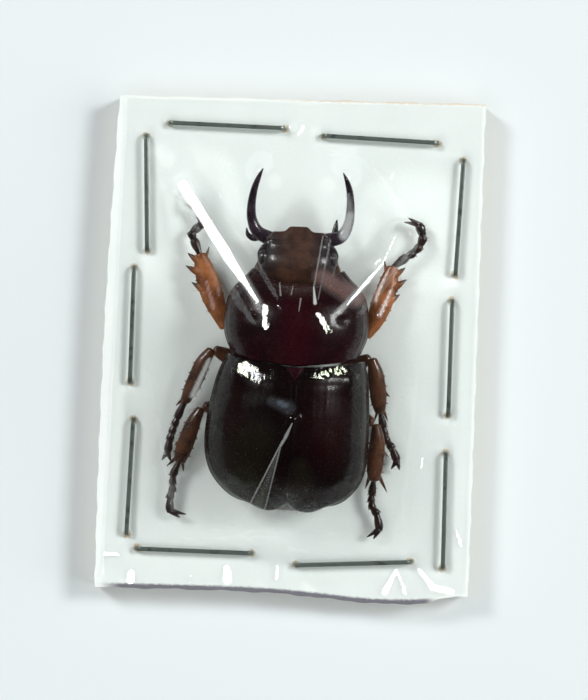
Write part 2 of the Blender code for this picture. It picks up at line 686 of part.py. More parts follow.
def make_mouthparts():
    """Mentum under the head with a pair of jaw palps and a pair of lip palps."""
    pieces = [limb("mentum", beside(1, MENTUM), 10, 2)]
    for side in (-1, 1):
        pieces.append(limb(f"jaw_palp_{side + 1}", beside(side, JAW_PALP), 7, 2))
        pieces.append(limb(f"lip_palp_{side + 1}", beside(side, LIP_PALP), 6, 2))
    return fuse("mouthparts", pieces, "under")


# Hind body, built along its own axis and turned as one

def base_edge(r):
    """How far behind the pivot an elytron's front edge lies across its width."""
    return BASE_BACK - BASE_CURVE * r ** 1.6


def make_elytron(side):
    length = ELYTRA[-1][0]
    name = "elytron_left" if side < 0 else "elytron_right"

    def along(u):
        return length * (1 - (1 - u) ** 1.15)

    def across(v):
        return math.sin(v * math.pi / 2)

    def plan(u, v):
        s, r = along(u), across(v)
        inner = GAP / 2 + (SCUTELLUM[0] + GAP) * max(0.0, 1 - s / SCUTELLUM[1])
        start = base_edge(r) * (1 - u) ** 4
        notch = (-0.5 + 0.75 * math.sin(math.pi * min(1.0, r * 1.05)) ** 0.8) * u ** 10
        x = inner + (read_table(elytra_table, s, 1) - inner) * r
        lean = -HIND_LEAN * math.sin(math.pi * s / length) * r
        return side * x + lean, -(s + start + notch)

    def top(u, v, x, y):
        s, r = along(u), across(v)
        middle, edge = read_table(elytra_table, s, 2), read_table(elytra_table, s, 3)
        bumps = bump(SHOULDER, s, r) + bump(END_KNOB, s, r)
        return edge + (middle - edge) * dome(r, 2.25) + bumps

    def bottom(u, v, x, y):
        return read_table(elytra_table, along(u), 3) - EDGE_THICK

    shell = pillow(name, plan, top, bottom, 17, 9)
    shell.parent = hind
    return finish_node(shell, "elytra")


def make_scutellum():
    half_width, length, front, high, low = SCUTELLUM

    def plan(u, v):
        half = half_width * (1 - u) ** 0.8 + 0.12
        return (2 * v - 1) * half, -(front + (length - 0.35) * u)

    def top(u, v, x, y):
        return high + 0.35 * u + 0.12 * (1 - (2 * v - 1) ** 2)

    plate = pillow("scutellum", plan, top, lambda u, v, x, y: low, 5, 6)
    plate.parent = hind
    return finish_node(plate, "wine")


def make_sternum():
    def half(u):
        return 0.87 + 0.13 * math.sin(math.pi * u * 0.8)

    plate = underside("sternum", STERNUM, lambda u: 0.0, half, 1.15, 8, 12,
                      lambda u: 0.5 * (1 - u) ** 2)
    body = fuse("sternum", [plate] + coxae("middle", 0) + coxae("hind", 0), "under")
    body.parent = hind
    return body


def make_abdomen():
    def middle(u):
        return -0.7 * HIND_LEAN * math.sin(math.pi * (0.52 + 0.48 * u))

    def half(u):
        return 1 - 0.55 * u ** 2.6

    def lift(u):
        return 0.75 * u ** 2 - 0.1 * abs(math.sin(math.pi * u * ABDOMEN_RINGS))

    body = underside("abdomen", ABDOMEN, middle, half, 1.9, 12, 12, lift)
    body.parent = hind
    return finish_node(body, "under")


def make_pygidium():
    """The shield at the tail, sloping down and forward under the wing cases."""
    bm = bmesh.new()
    bmesh.ops.create_uvsphere(bm, u_segments=14, v_segments=8, radius=1)
    x, y, z = PYGIDIUM
    place = Matrix.Translation(Vector((x, y, z + CARD_THICK)) * mm)
    place = place @ Matrix.Rotation(math.radians(PYGIDIUM_TILT), 4, "X")
    place = place @ Matrix.Diagonal((*[size * mm for size in PYGIDIUM_SIZE], 1))
    bmesh.ops.transform(bm, matrix=place, verts=bm.verts)
    shield = to_object("pygidium", bm, parts)
    shield.parent = hind
    return finish_node(shield, "under")


# Legs

def make_leg(key, leg):
    side, place = key.split("_")
    tag = f"{place}_{side}"
    femur = limb(f"femur_{tag}", leg["femur"], 10, 2)
    finish_node(femur, "under" if place != "fore" else "tibia")
    pieces = [limb("shank", leg["tibia"], 10, 2)]
    for k, (root, tip, radius) in enumerate(leg["spines"]):
        pieces.append(spike(f"spine_{k}", root, tip, radius))
    fuse(f"tibia_{tag}", pieces, "tibia")
    joints = leg["tarsus"]
    pieces = []
    for k, (a, b) in enumerate(zip(joints, joints[1:])):
        a, b = np.array(a), np.array(b)
        way = (b - a) / np.linalg.norm(b - a)
        first = a if k == 0 else a - way * 0.12
        wide, deep = SEGMENT
        rows = ((*first, wide * 0.67, deep * 0.76), (*(a * 0.4 + b * 0.6), wide, deep),
                (*(b + way * 0.10), wide * 0.92, deep * 0.96))
        pieces.append(limb(f"segment_{k}", rows, 8, 1))
    root = np.array(joints[-1])
    for k, tip in enumerate(leg["claws"]):
        tip = np.array(tip)
        mid = root + (tip - root) * 0.55 + np.array((0, 0, CLAW_ARCH))
        back = root + (root - tip) * 0.08
        rows = ((*back, 0.20, 0.20), (*mid, 0.15, 0.16), (*tip, SPINE_TIP, SPINE_TIP))
        pieces.append(limb(f"claw_{k}", rows, 6, 2))
    fuse(f"tarsus_{tag}", pieces, "dark")


# Film: a skin drawn tight over the beetle and flat on the card outside it

def beetle_points():
    """Points over the top of the beetle: the solids' corners and a grid of rays."""
    bpy.context.view_layer.update()
    graph = bpy.context.evaluated_depsgraph_get()
    found, trees = [], []
    for obj in parts.objects:
        if obj.name == "card" or obj.name.startswith("staple"):
            continue
        mesh = obj.evaluated_get(graph).to_mesh()
        points = [obj.matrix_world @ v.co for v in mesh.vertices]
        found.extend(points)
        trees.append(BVHTree.FromPolygons(points, [tuple(p.vertices) for p in mesh.polygons]))
    down = Vector((0, 0, -1))
    for x in np.arange(-FILM_RIM_X, FILM_RIM_X, FILM_SAMPLE):
        for y in np.arange(-FILM_RIM_Y, FILM_RIM_Y, FILM_SAMPLE):
            hits = [tree.ray_cast(Vector((x * mm, y * mm, 30 * mm)), down)[0] for tree in trees]
            hits = [hit for hit in hits if hit is not None]
            if hits:
                found.append(max(hits, key=lambda hit: hit.z))
    return np.array(found) / mm


def film_lines(low, rim, high):
    """Grid lines across the card, with one on each line where the staples hold the film."""
    inner = np.linspace(-rim, rim, round(2 * rim / FILM_CELL) + 1)
    return np.concatenate((np.linspace(low, -rim, 3)[:-1], inner, np.linspace(rim, high, 3)[1:]))


def film_heights(grid_x, grid_y):
    """A skin drawn tight: as low as the beetle lets it hang between the staples."""
    rest = CARD_THICK + GAP
    floor = np.full((len(grid_y), len(grid_x)), rest)
    for x, y, z in beetle_points():
        i, j = np.searchsorted(grid_x, x) - 1, np.searchsorted(grid_y, y) - 1
        near = floor[j:j + 2, i:i + 2]
        np.maximum(near, z + FILM_CLEAR, out=near)
    held = (abs(grid_x)[None, :] > FILM_RIM_X - GAP) | (abs(grid_y)[:, None] > FILM_RIM_Y - GAP)
    z = floor.copy()
    for _ in range(1500):
        mean = z.copy()
        mean[1:-1, 1:-1] = (z[:-2, 1:-1] + z[2:, 1:-1] + z[1:-1, :-2] + z[1:-1, 2:]) / 4
        z = np.where(held, rest, np.maximum(floor, mean))
    return z


def make_film():
    left = max(c[0] for c in CARD_CORNERS[::3]) + FILM_INSET
    right = min(c[0] for c in CARD_CORNERS[1:3]) - FILM_INSET
    half_y = min(abs(c[1]) for c in CARD_CORNERS) - FILM_INSET
    grid_x = film_lines(left, FILM_RIM_X, right)
    grid_y = film_lines(-half_y, FILM_RIM_Y, half_y)
    z = film_heights(grid_x, grid_y)
    bm = bmesh.new()
    verts = [[bm.verts.new((x * mm, y * mm, z[j, i] * mm)) for i, x in enumerate(grid_x)]
             for j, y in enumerate(grid_y)]
    for low, high in zip(verts, verts[1:]):
        for i in range(len(grid_x) - 1):
            bm.faces.new((low[i], low[i + 1], high[i + 1], high[i]))
    bmesh.ops.triangulate(bm, faces=bm.faces)
    film = to_object("film", bm, parts)
    if film.data.polygons[0].normal.z < 0:
        film.data.flip_normals()
    skin = film.modifiers.new("thickness", "SOLIDIFY")
    skin.thickness = FILM_THICK * mm
    skin.offset = 1
    graph = bpy.context.evaluated_depsgraph_get()
    film.data = bpy.data.meshes.new_from_object(film.evaluated_get(graph))
    film.modifiers.clear()
    cutters = make_collection("film_cutters")
    hole = STAPLE_WIRE + 2 * GAP
    for name, middle, way, reach in staple_places():
        turn = math.atan2(way.y, way.x)
        for k, side in enumerate((-1, 1)):
            leg = middle + way * reach * side
            cut_box(f"{name}_hole_{k}", (leg.x - way.x * side * 0.35, leg.y - way.y * side * 0.35,
                                         CARD_THICK + 0.5), (hole + 0.7, hole, 3), turn, cutters)
    apply_boolean(film, cutters, "DIFFERENCE")
    return finish_node(film, "film", 40)


clear_scene()
bpy.context.scene.unit_settings.system = "METRIC"
parts = make_collection("mounted_chafer")
hind = bpy.data.objects.new("hind_body", None)
hind.location = (HIND_PIVOT[0] * mm, HIND_PIVOT[1] * mm, 0)
hind.rotation_euler = (0, 0, math.radians(HIND_TURN))
parts.objects.link(hind)

make_pronotum()
make_prothorax()
make_head()
make_clypeus()
for each in (-1, 1):
    finish_node(make_eye_ball("eye_left" if each < 0 else "eye_right", each, 0.0, parts), "eye")
    make_antenna(each)
    make_elytron(each)
for each in MANDIBLES:
    make_mandible(each)
make_mouthparts()
make_scutellum()
make_sternum()
make_abdomen()
make_pygidium()
for each, shape in LEGS.items():
    make_leg(each, shape)
make_card()
for place in staple_places():
    make_staple(*place)
parts.objects.unlink(hind)
bpy.context.scene.collection.objects.link(hind)
make_film()
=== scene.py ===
import json
import math

import bmesh
import bpy
import numpy as np
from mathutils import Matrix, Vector
from mathutils.bvhtree import BVHTree

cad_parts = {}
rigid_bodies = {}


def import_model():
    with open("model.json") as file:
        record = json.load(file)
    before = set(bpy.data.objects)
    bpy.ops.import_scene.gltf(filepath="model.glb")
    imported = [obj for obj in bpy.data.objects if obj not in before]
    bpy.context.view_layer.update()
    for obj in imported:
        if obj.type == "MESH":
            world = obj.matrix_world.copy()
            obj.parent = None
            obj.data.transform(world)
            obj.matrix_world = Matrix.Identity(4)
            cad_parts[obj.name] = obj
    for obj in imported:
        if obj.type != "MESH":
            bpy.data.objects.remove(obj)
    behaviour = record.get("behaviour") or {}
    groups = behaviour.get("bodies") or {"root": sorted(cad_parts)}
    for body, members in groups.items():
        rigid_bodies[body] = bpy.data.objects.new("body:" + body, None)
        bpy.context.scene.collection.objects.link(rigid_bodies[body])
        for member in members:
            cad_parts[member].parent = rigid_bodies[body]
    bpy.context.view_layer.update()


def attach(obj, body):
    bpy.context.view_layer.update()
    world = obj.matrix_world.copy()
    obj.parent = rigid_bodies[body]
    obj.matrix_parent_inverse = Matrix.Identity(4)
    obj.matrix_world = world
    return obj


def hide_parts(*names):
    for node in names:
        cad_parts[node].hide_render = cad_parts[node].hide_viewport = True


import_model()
mm = 0.001
cardTop = 3.2          # heights below are millimetres above the card's face
foreMiddle = 0.6       # x of the fore body's middle line
headMiddle = 0.5
print("frame loaded")


# Nodes and node groups

class Field:          # a node's output that can stand in a formula
    def __init__(self, socket):
        self.socket = socket
        self.tree = socket.id_data

    def __add__(self, other):
        return maths("ADD", self, other)

    def __sub__(self, other):
        return maths("SUBTRACT", self, other)

    def __rsub__(self, other):
        return maths("SUBTRACT", other, self)

    def __mul__(self, other):
        return maths("MULTIPLY", self, other)

    def __truediv__(self, other):
        return maths("DIVIDE", self, other)

    def __pow__(self, other):
        return maths("POWER", self, other)


def connect(value, socket):
    source = value.socket if isinstance(value, Field) else value
    if isinstance(source, bpy.types.NodeSocket):
        socket.id_data.links.new(source, socket)
    else:
        socket.default_value = source


def addNode(tree, kind, inputs=None, **settings):
    node = tree.nodes.new(kind)
    for key, value in settings.items():
        setattr(node, key, value)
    for key, value in (inputs or {}).items():
        connect(value, node.inputs[key])
    return node


def fieldOf(tree, kind, inputs=None, output=0, **settings):
    return Field(addNode(tree, kind, inputs, **settings).outputs[output])


def socketKind(value):
    if isinstance(value, str):
        return "NodeSocket" + value
    if isinstance(value, tuple):
        return "NodeSocketVector" if len(value) == 3 else "NodeSocketColor"
    return "NodeSocketInt" if isinstance(value, int) else "NodeSocketFloat"


def newTree(name, kind, inputs, outputs):
    tree = bpy.data.node_groups.new(name, kind)
    for label, value in inputs.items():
        socket = tree.interface.new_socket(label, in_out="INPUT", socket_type=socketKind(value))
        if not isinstance(value, str):
            socket.default_value = value
    for label, value in outputs.items():
        tree.interface.new_socket(label, in_out="OUTPUT", socket_type=socketKind(value))
    given = {socket.name: Field(socket) for socket in tree.nodes.new("NodeGroupInput").outputs}
    return tree, given, tree.nodes.new("NodeGroupOutput")


def maths(operation, a, b=0.0, clamp=False):
    tree = a.tree if isinstance(a, Field) else b.tree
    return fieldOf(tree, "ShaderNodeMath", {0: a, 1: b}, operation=operation, use_clamp=clamp)


def vectorMaths(operation, a, b=(0, 0, 0), output=0):
    return fieldOf(a.tree, "ShaderNodeVectorMath", {0: a, 1: b}, output, operation=operation)


def blendColour(factor, a, b):
    return fieldOf(factor.tree, "ShaderNodeMix", {0: factor, 6: a, 7: b}, 2, data_type="RGBA")


def millimetres(tree, stretch=(1, 1, 1)):
    place = fieldOf(tree, "ShaderNodeTexCoord", output="Object")
    return fieldOf(tree, "ShaderNodeMapping", {"Vector": place, "Scale": [s / mm for s in stretch]})


def noise(place, scale, detail=2.0, **more):
    inputs = {"Vector": place, "Scale": scale, "Detail": detail, **more}
    return fieldOf(place.tree, "ShaderNodeTexNoise", inputs, "Fac")


def smoothStep(value, low, high, start=0.0, end=1.0):
    return fieldOf(value.tree, "ShaderNodeMapRange", {
        "Value": value, "From Min": low, "From Max": high, "To Min": start, "To Max": end},
        interpolation_type="SMOOTHSTEP")


def newMaterial(name):
    mat = bpy.data.materials.new(name)
    mat.use_nodes = True
    return mat, mat.node_tree, mat.node_tree.nodes["Principled BSDF"]


def dress(shader, colour, roughness, height=None, relief=0.0):
    connect(colour, shader.inputs["Base Color"])
    connect(roughness, shader.inputs["Roughness"])
    if height is not None:
        bump = fieldOf(height.tree, "ShaderNodeBump", {"Height": height, "Distance": relief * mm})
        connect(bump, shader.inputs["Normal"])


def makeCuticleGroup():
    tree, given, result = newTree(
        "cuticleSurface", "ShaderNodeTree",
        {"Base": (0.1, 0.02, 0.02, 1), "Deep": (0.02, 0.01, 0.01, 1), "Glow": (0.2, 0.05, 0.02, 1),
         "Patch Scale": 0.4, "Pit Scale": 3.0, "Pit Size": 0.3, "Grain": 0.3, "Roughness": 0.25},
        {"Color": "Color", "Roughness": "Float", "Height": "Float"})
    place = millimetres(tree)
    patches = noise(place, given["Patch Scale"], 5.0, Roughness=0.6)
    grain = noise(place, 9.0, 3.0)
    pits = fieldOf(tree, "ShaderNodeTexVoronoi", {
        "Vector": place, "Scale": given["Pit Scale"], "Randomness": 0.85}, "Distance")
    inPit = 1.0 - smoothStep(pits / given["Pit Size"], 0.35, 1.0)
    colour = blendColour(smoothStep(patches, 0.38, 0.62), given["Deep"], given["Base"])
    colour = blendColour(smoothStep(grain, 0.52, 0.75, 0.0, 0.5), colour, given["Glow"])
    # The pits' colour is darkened towards black: painted shade in the recesses.
    colour = blendColour(inPit * 0.55, colour, (0.004, 0.002, 0.002, 1))
    roughness = maths("ADD", given["Roughness"] + (patches - 0.5) * 0.28, inPit * 0.12, clamp=True)
    height = grain * given["Grain"] - inPit
    for socket, value in (("Color", colour), ("Roughness", roughness), ("Height", height)):
        connect(value, result.inputs[socket])
    return tree


def makeSpotGroup():
    tree, given, result = newTree(
        "softSpot", "ShaderNodeTree",
        {"Centre": (0, 0, 0), "Size": (1, 1, 1), "Ragged": 0.25}, {"Mask": "Float"})
    place = millimetres(tree)
    away = vectorMaths("DIVIDE", vectorMaths("SUBTRACT", place, given["Centre"]), given["Size"])
    far = vectorMaths("LENGTH", away, output=1) + (noise(place, 0.9, 3.0) - 0.5) * given["Ragged"]
    connect(smoothStep(far, 0.25, 1.15, 1.0, 0.0), result.inputs["Mask"])
    return tree


cuticleGroup = makeCuticleGroup()
spotGroup = makeSpotGroup()


def cuticleMaterial(name, base, deep, glow, patch=0.4, pits=3.0, pitSize=0.3, grain=0.3, rough=0.22,
                    relief=0.012, coat=0.5, index=1.5, spots=()):
    mat, tree, shader = newMaterial(name)
    skin = addNode(tree, "ShaderNodeGroup", {
        "Base": (*base, 1), "Deep": (*deep, 1), "Glow": (*glow, 1), "Patch Scale": patch, "Pit Scale": pits,
        "Pit Size": pitSize, "Grain": grain, "Roughness": rough}, node_tree=cuticleGroup)
    colour, roughness, height = [Field(skin.outputs[key]) for key in ("Color", "Roughness", "Height")]
    for centre, size, tint, amount in spots:
        mask = fieldOf(tree, "ShaderNodeGroup", {"Centre": centre, "Size": size}, node_tree=spotGroup)
        colour = blendColour(mask * amount, colour, (*tint, 1))
    dress(shader, colour, roughness, height, relief)
    shader.inputs["Coat Weight"].default_value = coat
    shader.inputs["Coat Roughness"].default_value = 0.07
    shader.inputs["IOR"].default_value = index
    return mat


wineShell = cuticleMaterial(
    "wineShell", (0.0125, 0.0011, 0.0024), (0.007, 0.001, 0.0022), (0.026, 0.0018, 0.003), pits=4.5,
    pitSize=0.32, rough=0.25, relief=0.002, coat=0.1, index=1.32,
    spots=[((foreMiddle, 1.5, 12), (2.6, 6.0, 6), (0.022, 0.001, 0.0032), 0.8),
           ((foreMiddle, 6.6, 11), (3.6, 1.9, 6), (0.036, 0.013, 0.009), 0.6)])
darkWing = cuticleMaterial(
    "darkWing", (0.0034, 0.0006, 0.0009), (0.0028, 0.0007, 0.001), (0.012, 0.0014, 0.0018), pits=3.2,
    pitSize=0.36, rough=0.26, relief=0.0015, coat=0.06, index=1.27,
    spots=[((4.2, -8.0, 12), (3.4, 6.0, 6), (0.0105, 0.0009, 0.0013), 0.7),
           ((-5.6, -6.5, 12), (1.8, 4.5, 6), (0.0095, 0.0009, 0.0013), 0.6)])
brownHead = cuticleMaterial(
    "brownHead", (0.07, 0.03, 0.016), (0.03, 0.014, 0.01), (0.12, 0.045, 0.02), patch=0.7, pits=6.0,
    pitSize=0.42, grain=0.5, rough=0.34, relief=0.022, coat=0.25,
    spots=[((headMiddle - 3.4, 9.9, 8), (2.7, 3.4, 4), (0.012, 0.008, 0.011), 0.92),
           ((headMiddle + 3.4, 9.9, 8), (2.5, 3.4, 4), (0.012, 0.008, 0.011), 0.92)])
purpleHorn = cuticleMaterial(
    "purpleHorn", (0.028, 0.016, 0.026), (0.01, 0.006, 0.01), (0.07, 0.04, 0.05), patch=0.5, pits=5.0,
    pitSize=0.25, rough=0.24, relief=0.008, coat=0.5)
brownShin = cuticleMaterial(
    "brownShin", (0.095, 0.034, 0.014), (0.035, 0.014, 0.008), (0.17, 0.065, 0.028), patch=0.6, pits=4.0,
    pitSize=0.3, rough=0.3, relief=0.012, coat=0.4)
darkFoot = cuticleMaterial(
    "darkFoot", (0.022, 0.01, 0.009), (0.009, 0.005, 0.006), (0.05, 0.022, 0.014), patch=0.9, pits=7.0,
    pitSize=0.3, rough=0.3, relief=0.008, coat=0.4)
brownBelly = cuticleMaterial(
    "brownBelly", (0.046, 0.017, 0.01), (0.02, 0.008, 0.006), (0.09, 0.038, 0.02), patch=0.5, pits=4.0,
    pitSize=0.4, grain=0.5, rough=0.34, relief=0.018, coat=0.3)
clubBrown = cuticleMaterial(
    "clubBrown", (0.11, 0.05, 0.026), (0.06, 0.028, 0.016), (0.18, 0.09, 0.05), patch=1.2, pits=12.0,
    pitSize=0.4, grain=0.6, rough=0.45, relief=0.008, coat=0.1)


def makeEyeMaterial():
    mat, tree, shader = newMaterial("facetEye")
    lattice = {"Vector": millimetres(tree), "Scale": 17.0, "Randomness": 0.15}
    cells = fieldOf(tree, "ShaderNodeTexVoronoi", lattice, "Distance", feature="DISTANCE_TO_EDGE")
    facet = smoothStep(cells, 0.0, 0.22)
    dress(shader, blendColour(facet, (0.004, 0.003, 0.004, 1), (0.02, 0.016, 0.02, 1)),
          smoothStep(cells, 0.0, 0.22, 0.4, 0.1), facet, 0.008)
    shader.inputs["Coat Weight"].default_value = 0.6
    return mat


def makeBristleMaterial():
    mat, tree, shader = newMaterial("goldBristle")
    tone = noise(millimetres(tree), 2.5)
    dress(shader, blendColour(tone, (0.1, 0.045, 0.018, 1), (0.34, 0.19, 0.08, 1)),
          smoothStep(tone, 0.3, 0.7, 0.32, 0.5))
    return mat


facetEye = makeEyeMaterial()
goldBristle = makeBristleMaterial()
print("beetle materials ready")


# Mesh helpers: a raw mesh is an array of points in millimetres and a list of faces

def spline(rows, steps):
    rows = [np.array(r, float) for r in rows]
    ends = [2 * rows[0] - rows[1]] + rows + [2 * rows[-1] - rows[-2]]
    out = []
    for i in range(1, len(ends) - 2):
        a, b, c, d = ends[i - 1:i + 3]
        for k in range(steps):
            t = k / steps
            out.append(0.5 * (2 * b + (c - a) * t + (2 * a - 5 * b + 4 * c - d) * t * t
                              + (3 * b - a - 3 * c + d) * t ** 3))
    out.append(rows[-1])
    return np.array(out)


def lookUp(table, where, column):
    return np.interp(where, table[:, 0], table[:, column])


def dome(r, power):
    return (1 - np.minimum(1.0, abs(r)) ** power) ** 0.58


def hill(value, centre, width):
    return np.exp(-((value - centre) / width) ** 2)


def unit(vectors):
    return vectors / np.maximum(np.linalg.norm(vectors, axis=-1, keepdims=True), 1e-9)


def gridFaces(index):
    a, b, c, d = index[:-1, :-1], index[1:, :-1], index[1:, 1:], index[:-1, 1:]
    return np.stack((a, b, c, d), -1).reshape(-1, 4).tolist()


def shellRaw(plan, top, bottom, rows, cols, rim=5, bulge=0.06):
    u, v = np.meshgrid(np.linspace(0, 1, rows + 1), np.linspace(0, 1, cols + 1), indexing="ij")
    x, y = plan(u, v)
    upper = np.stack((x, y, top(u, v, x, y)), -1)
    lower = np.stack((x, y, bottom(u, v, x, y)), -1)
    index = np.arange(u.size).reshape(u.shape)
    points = [upper.reshape(-1, 3), lower.reshape(-1, 3)]
    faces = gridFaces(index) + gridFaces(index + u.size)
    edge = np.concatenate((index[:, 0], index[-1, 1:], index[-2::-1, -1], index[0, -2:0:-1]))
    high, low = points[0][edge], points[1][edge]
    way = np.roll(high, -1, 0) - np.roll(high, 1, 0)
    out = unit(np.stack((way[:, 1], -way[:, 0], np.zeros(len(way))), -1))
    if ((high[:, :2] - high[:, :2].mean(0)) * out[:, :2]).sum() < 0:
        out = -out
    rings = [edge]
    for k in range(1, rim):
        t = k / rim
        points.append(high * (1 - t) + low * t + out * bulge * math.sin(math.pi * t))
        rings.append(sum(len(p) for p in points[:-1]) + np.arange(len(edge)))
    rings.append(edge + u.size)
    for a, b in zip(rings, rings[1:]):
        faces += np.stack((a, np.roll(a, -1), np.roll(b, -1), b), -1).tolist()
    return np.concatenate(points), faces


def closedFaces(rings, sides):
    # rings of points one after another, then the point that closes each end
    index = np.arange(rings * sides).reshape(rings, sides)
    faces = gridFaces(np.concatenate((index, index[:, :1]), 1))
    for row, hub in ((index[0], rings * sides), (index[-1], rings * sides + 1)):
        faces += [[int(row[k]), int(row[(k + 1) % sides]), hub] for k in range(sides)]
    return faces


def limbRaw(stations, sides=20, steps=6, ribs=0.0, cap=0.7):
    rows = spline(stations, steps)
    centre = rows[:, :3]
    along = unit(np.gradient(centre, axis=0))
    side = unit(np.cross(along, (0, 0, 1)))
    over = np.cross(side, along)
    turn = 2 * np.pi * (np.arange(sides) + 0.5) / sides
    swell = 1 + ribs * np.cos(4 * turn)
    wide, thick = rows[:, 3], rows[:, 4]
    start, end = [], []
    for lean in (80, 60, 38, 18):
        s, c = math.sin(math.radians(lean)) * cap, math.cos(math.radians(lean))
        first, last = min(wide[0], thick[0]) * s, min(wide[-1], thick[-1]) * s
        start.append((centre[:1] - along[:1] * first, side[:1], over[:1], wide[:1] * c, thick[:1] * c))
        end.insert(0, (centre[-1:] + along[-1:] * last, side[-1:], over[-1:], wide[-1:] * c, thick[-1:] * c))
    middle = [(centre, side, over, wide, thick)]
    centre, side, over, wide, thick = [np.concatenate(parts) for parts in zip(*(start + middle + end))]
    ring = (centre[:, None] + side[:, None] * (wide[:, None] * np.cos(turn) * swell)[..., None]
            + over[:, None] * (thick[:, None] * np.sin(turn) * swell)[..., None])
    return np.concatenate((ring.reshape(-1, 3), centre[:1], centre[-1:])), closedFaces(len(centre), sides)


def ballRaw(size, centre, sides, rings, tilt=0.0):
    lean = np.repeat(np.pi * np.arange(1, rings) / rings, sides)
    turn = np.tile(2 * np.pi * np.arange(sides) / sides, rings - 1)
    points = np.stack((np.sin(lean) * np.cos(turn), np.sin(lean) * np.sin(turn), np.cos(lean)), -1)
    x, y, z = (np.concatenate((points, ((0, 0, 1), (0, 0, -1)))) * size).T
    c, s = math.cos(math.radians(tilt)), math.sin(math.radians(tilt))
    return np.stack((x, y * c - z * s, y * s + z * c), -1) + centre, closedFaces(rings - 1, sides)


def mergeRaw(parts):
    points, faces, offset = [], [], 0
    for p, f in parts:
        points.append(p)
        faces += [[i + offset for i in face] for face in f]
        offset += len(p)
    return np.concatenate(points), faces


def newObject(name, data):
    obj = bpy.data.objects.new(name, data)
    bpy.context.scene.collection.objects.link(obj)
    return obj


def pieceFrom(name, raw, material, smooth=50.0):
    points, faces = raw
    mesh = bpy.data.meshes.new(name)
    mesh.from_pydata(((points + (0, 0, cardTop)) * mm).tolist(), [], faces)
    bm = bmesh.new()
    bm.from_mesh(mesh)
    bmesh.ops.remove_doubles(bm, verts=bm.verts, dist=1e-7)
    bmesh.ops.recalc_face_normals(bm, faces=bm.faces)
    bm.to_mesh(mesh)
    bm.free()
    mesh.materials.append(material)
    mesh.shade_smooth()
    mesh.set_sharp_from_angle(angle=math.radians(smooth))
    return newObject(name, mesh)


def settle(obj):
    graph = bpy.context.evaluated_depsgraph_get()
    mesh = bpy.data.meshes.new_from_object(obj.evaluated_get(graph))
    obj.modifiers.clear()
    obj.data = mesh


def fusedPiece(name, raws, material, voxel=0.05, smooth=3):
    obj = pieceFrom(name, mergeRaw(raws), material)
    melt = obj.modifiers.new("melt", "REMESH")
    melt.mode = "VOXEL"
    melt.voxel_size = voxel * mm
    melt.use_smooth_shade = True
    ease = obj.modifiers.new("ease", "SMOOTH")
    ease.factor = 0.5
    ease.iterations = smooth
    settle(obj)
    if not obj.data.materials:
        obj.data.materials.append(material)
    obj.data.shade_smooth()
    return obj


def place(obj, slot, *nodes):
    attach(obj, "root")
    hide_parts(*nodes)


# Bristles: a Geometry Nodes coat of tapered hairs over any piece

def makeBristleTree():
    tree, given, result = newTree(
        "bristleCoat", "GeometryNodeTree",
        {"Geometry": "Geometry", "Per Square Metre": 5e6, "Length": 0.6 * mm, "Root Radius": 0.02 * mm,
         "Lie": (0, -1, 0), "Lean": 0.6, "Lowest": 0.0, "Highest": 1.0, "Seed": 1, "Hair": "Material"},
        {"Geometry": "Geometry"})

    def add(kind, inputs=None, output=0, **settings):
        return fieldOf(tree, kind, inputs, output, **settings)

    height = add("ShaderNodeSeparateXYZ", {0: add("GeometryNodeInputPosition")}, 2)
    low = add("FunctionNodeCompare", {0: height, 1: given["Lowest"]}, operation="GREATER_THAN")
    high = add("FunctionNodeCompare", {0: height, 1: given["Highest"]}, operation="LESS_THAN")
    band = add("FunctionNodeBooleanMath", {0: low, 1: high}, operation="AND")
    scatter = addNode(tree, "GeometryNodeDistributePointsOnFaces", {
        "Mesh": given["Geometry"], "Selection": band, "Density": given["Per Square Metre"],
        "Seed": given["Seed"]})
    lie = add("ShaderNodeVectorMath", {0: given["Lie"], "Scale": given["Lean"]}, operation="SCALE")
    rise = add("ShaderNodeVectorMath", {0: scatter.outputs["Normal"], 1: lie}, operation="ADD")
    cone = add("GeometryNodeMeshCone", {
        "Vertices": 5, "Side Segments": 3, "Radius Top": 0.002 * mm, "Radius Bottom": given["Root Radius"],
        "Depth": given["Length"]})
    aim = add("FunctionNodeAlignRotationToVector", {"Vector": rise}, axis="Z")
    grow = add("FunctionNodeRandomValue", {2: 0.55, 3: 1.2, "Seed": given["Seed"]}, 1, data_type="FLOAT")
    hairs = add("GeometryNodeInstanceOnPoints", {
        "Points": scatter.outputs["Points"], "Instance": cone, "Rotation": aim, "Scale": grow})
    real = add("GeometryNodeRealizeInstances", {0: hairs})
    worn = add("GeometryNodeSetMaterial", {"Geometry": real, "Material": given["Hair"]})
    both = addNode(tree, "GeometryNodeJoinGeometry")
    connect(worn, both.inputs[0])
    connect(given["Geometry"], both.inputs[0])
    connect(both.outputs[0], result.inputs[0])
    return tree


def runTree(obj, tree, values):
    modifier = obj.modifiers.new(tree.name, "NODES")
    modifier.node_group = tree
    for item in tree.interface.items_tree:
        if item.item_type == "SOCKET" and item.in_out == "INPUT" and item.name in values:
            modifier[item.identifier] = values[item.name]
    settle(obj)


bristleTree = makeBristleTree()


def addBristles(obj, perSquareMm, length, radius, lie, lean, seed, low=-1.0, high=30.0):
    runTree(obj, bristleTree, {
        "Per Square Metre": perSquareMm / mm / mm, "Length": length * mm, "Root Radius": radius * mm,
        "Lie": Vector(lie).normalized(), "Lean": lean, "Seed": seed, "Hair": goldBristle,
        "Lowest": (low + cardTop) * mm, "Highest": (high + cardTop) * mm})


# Pronotum

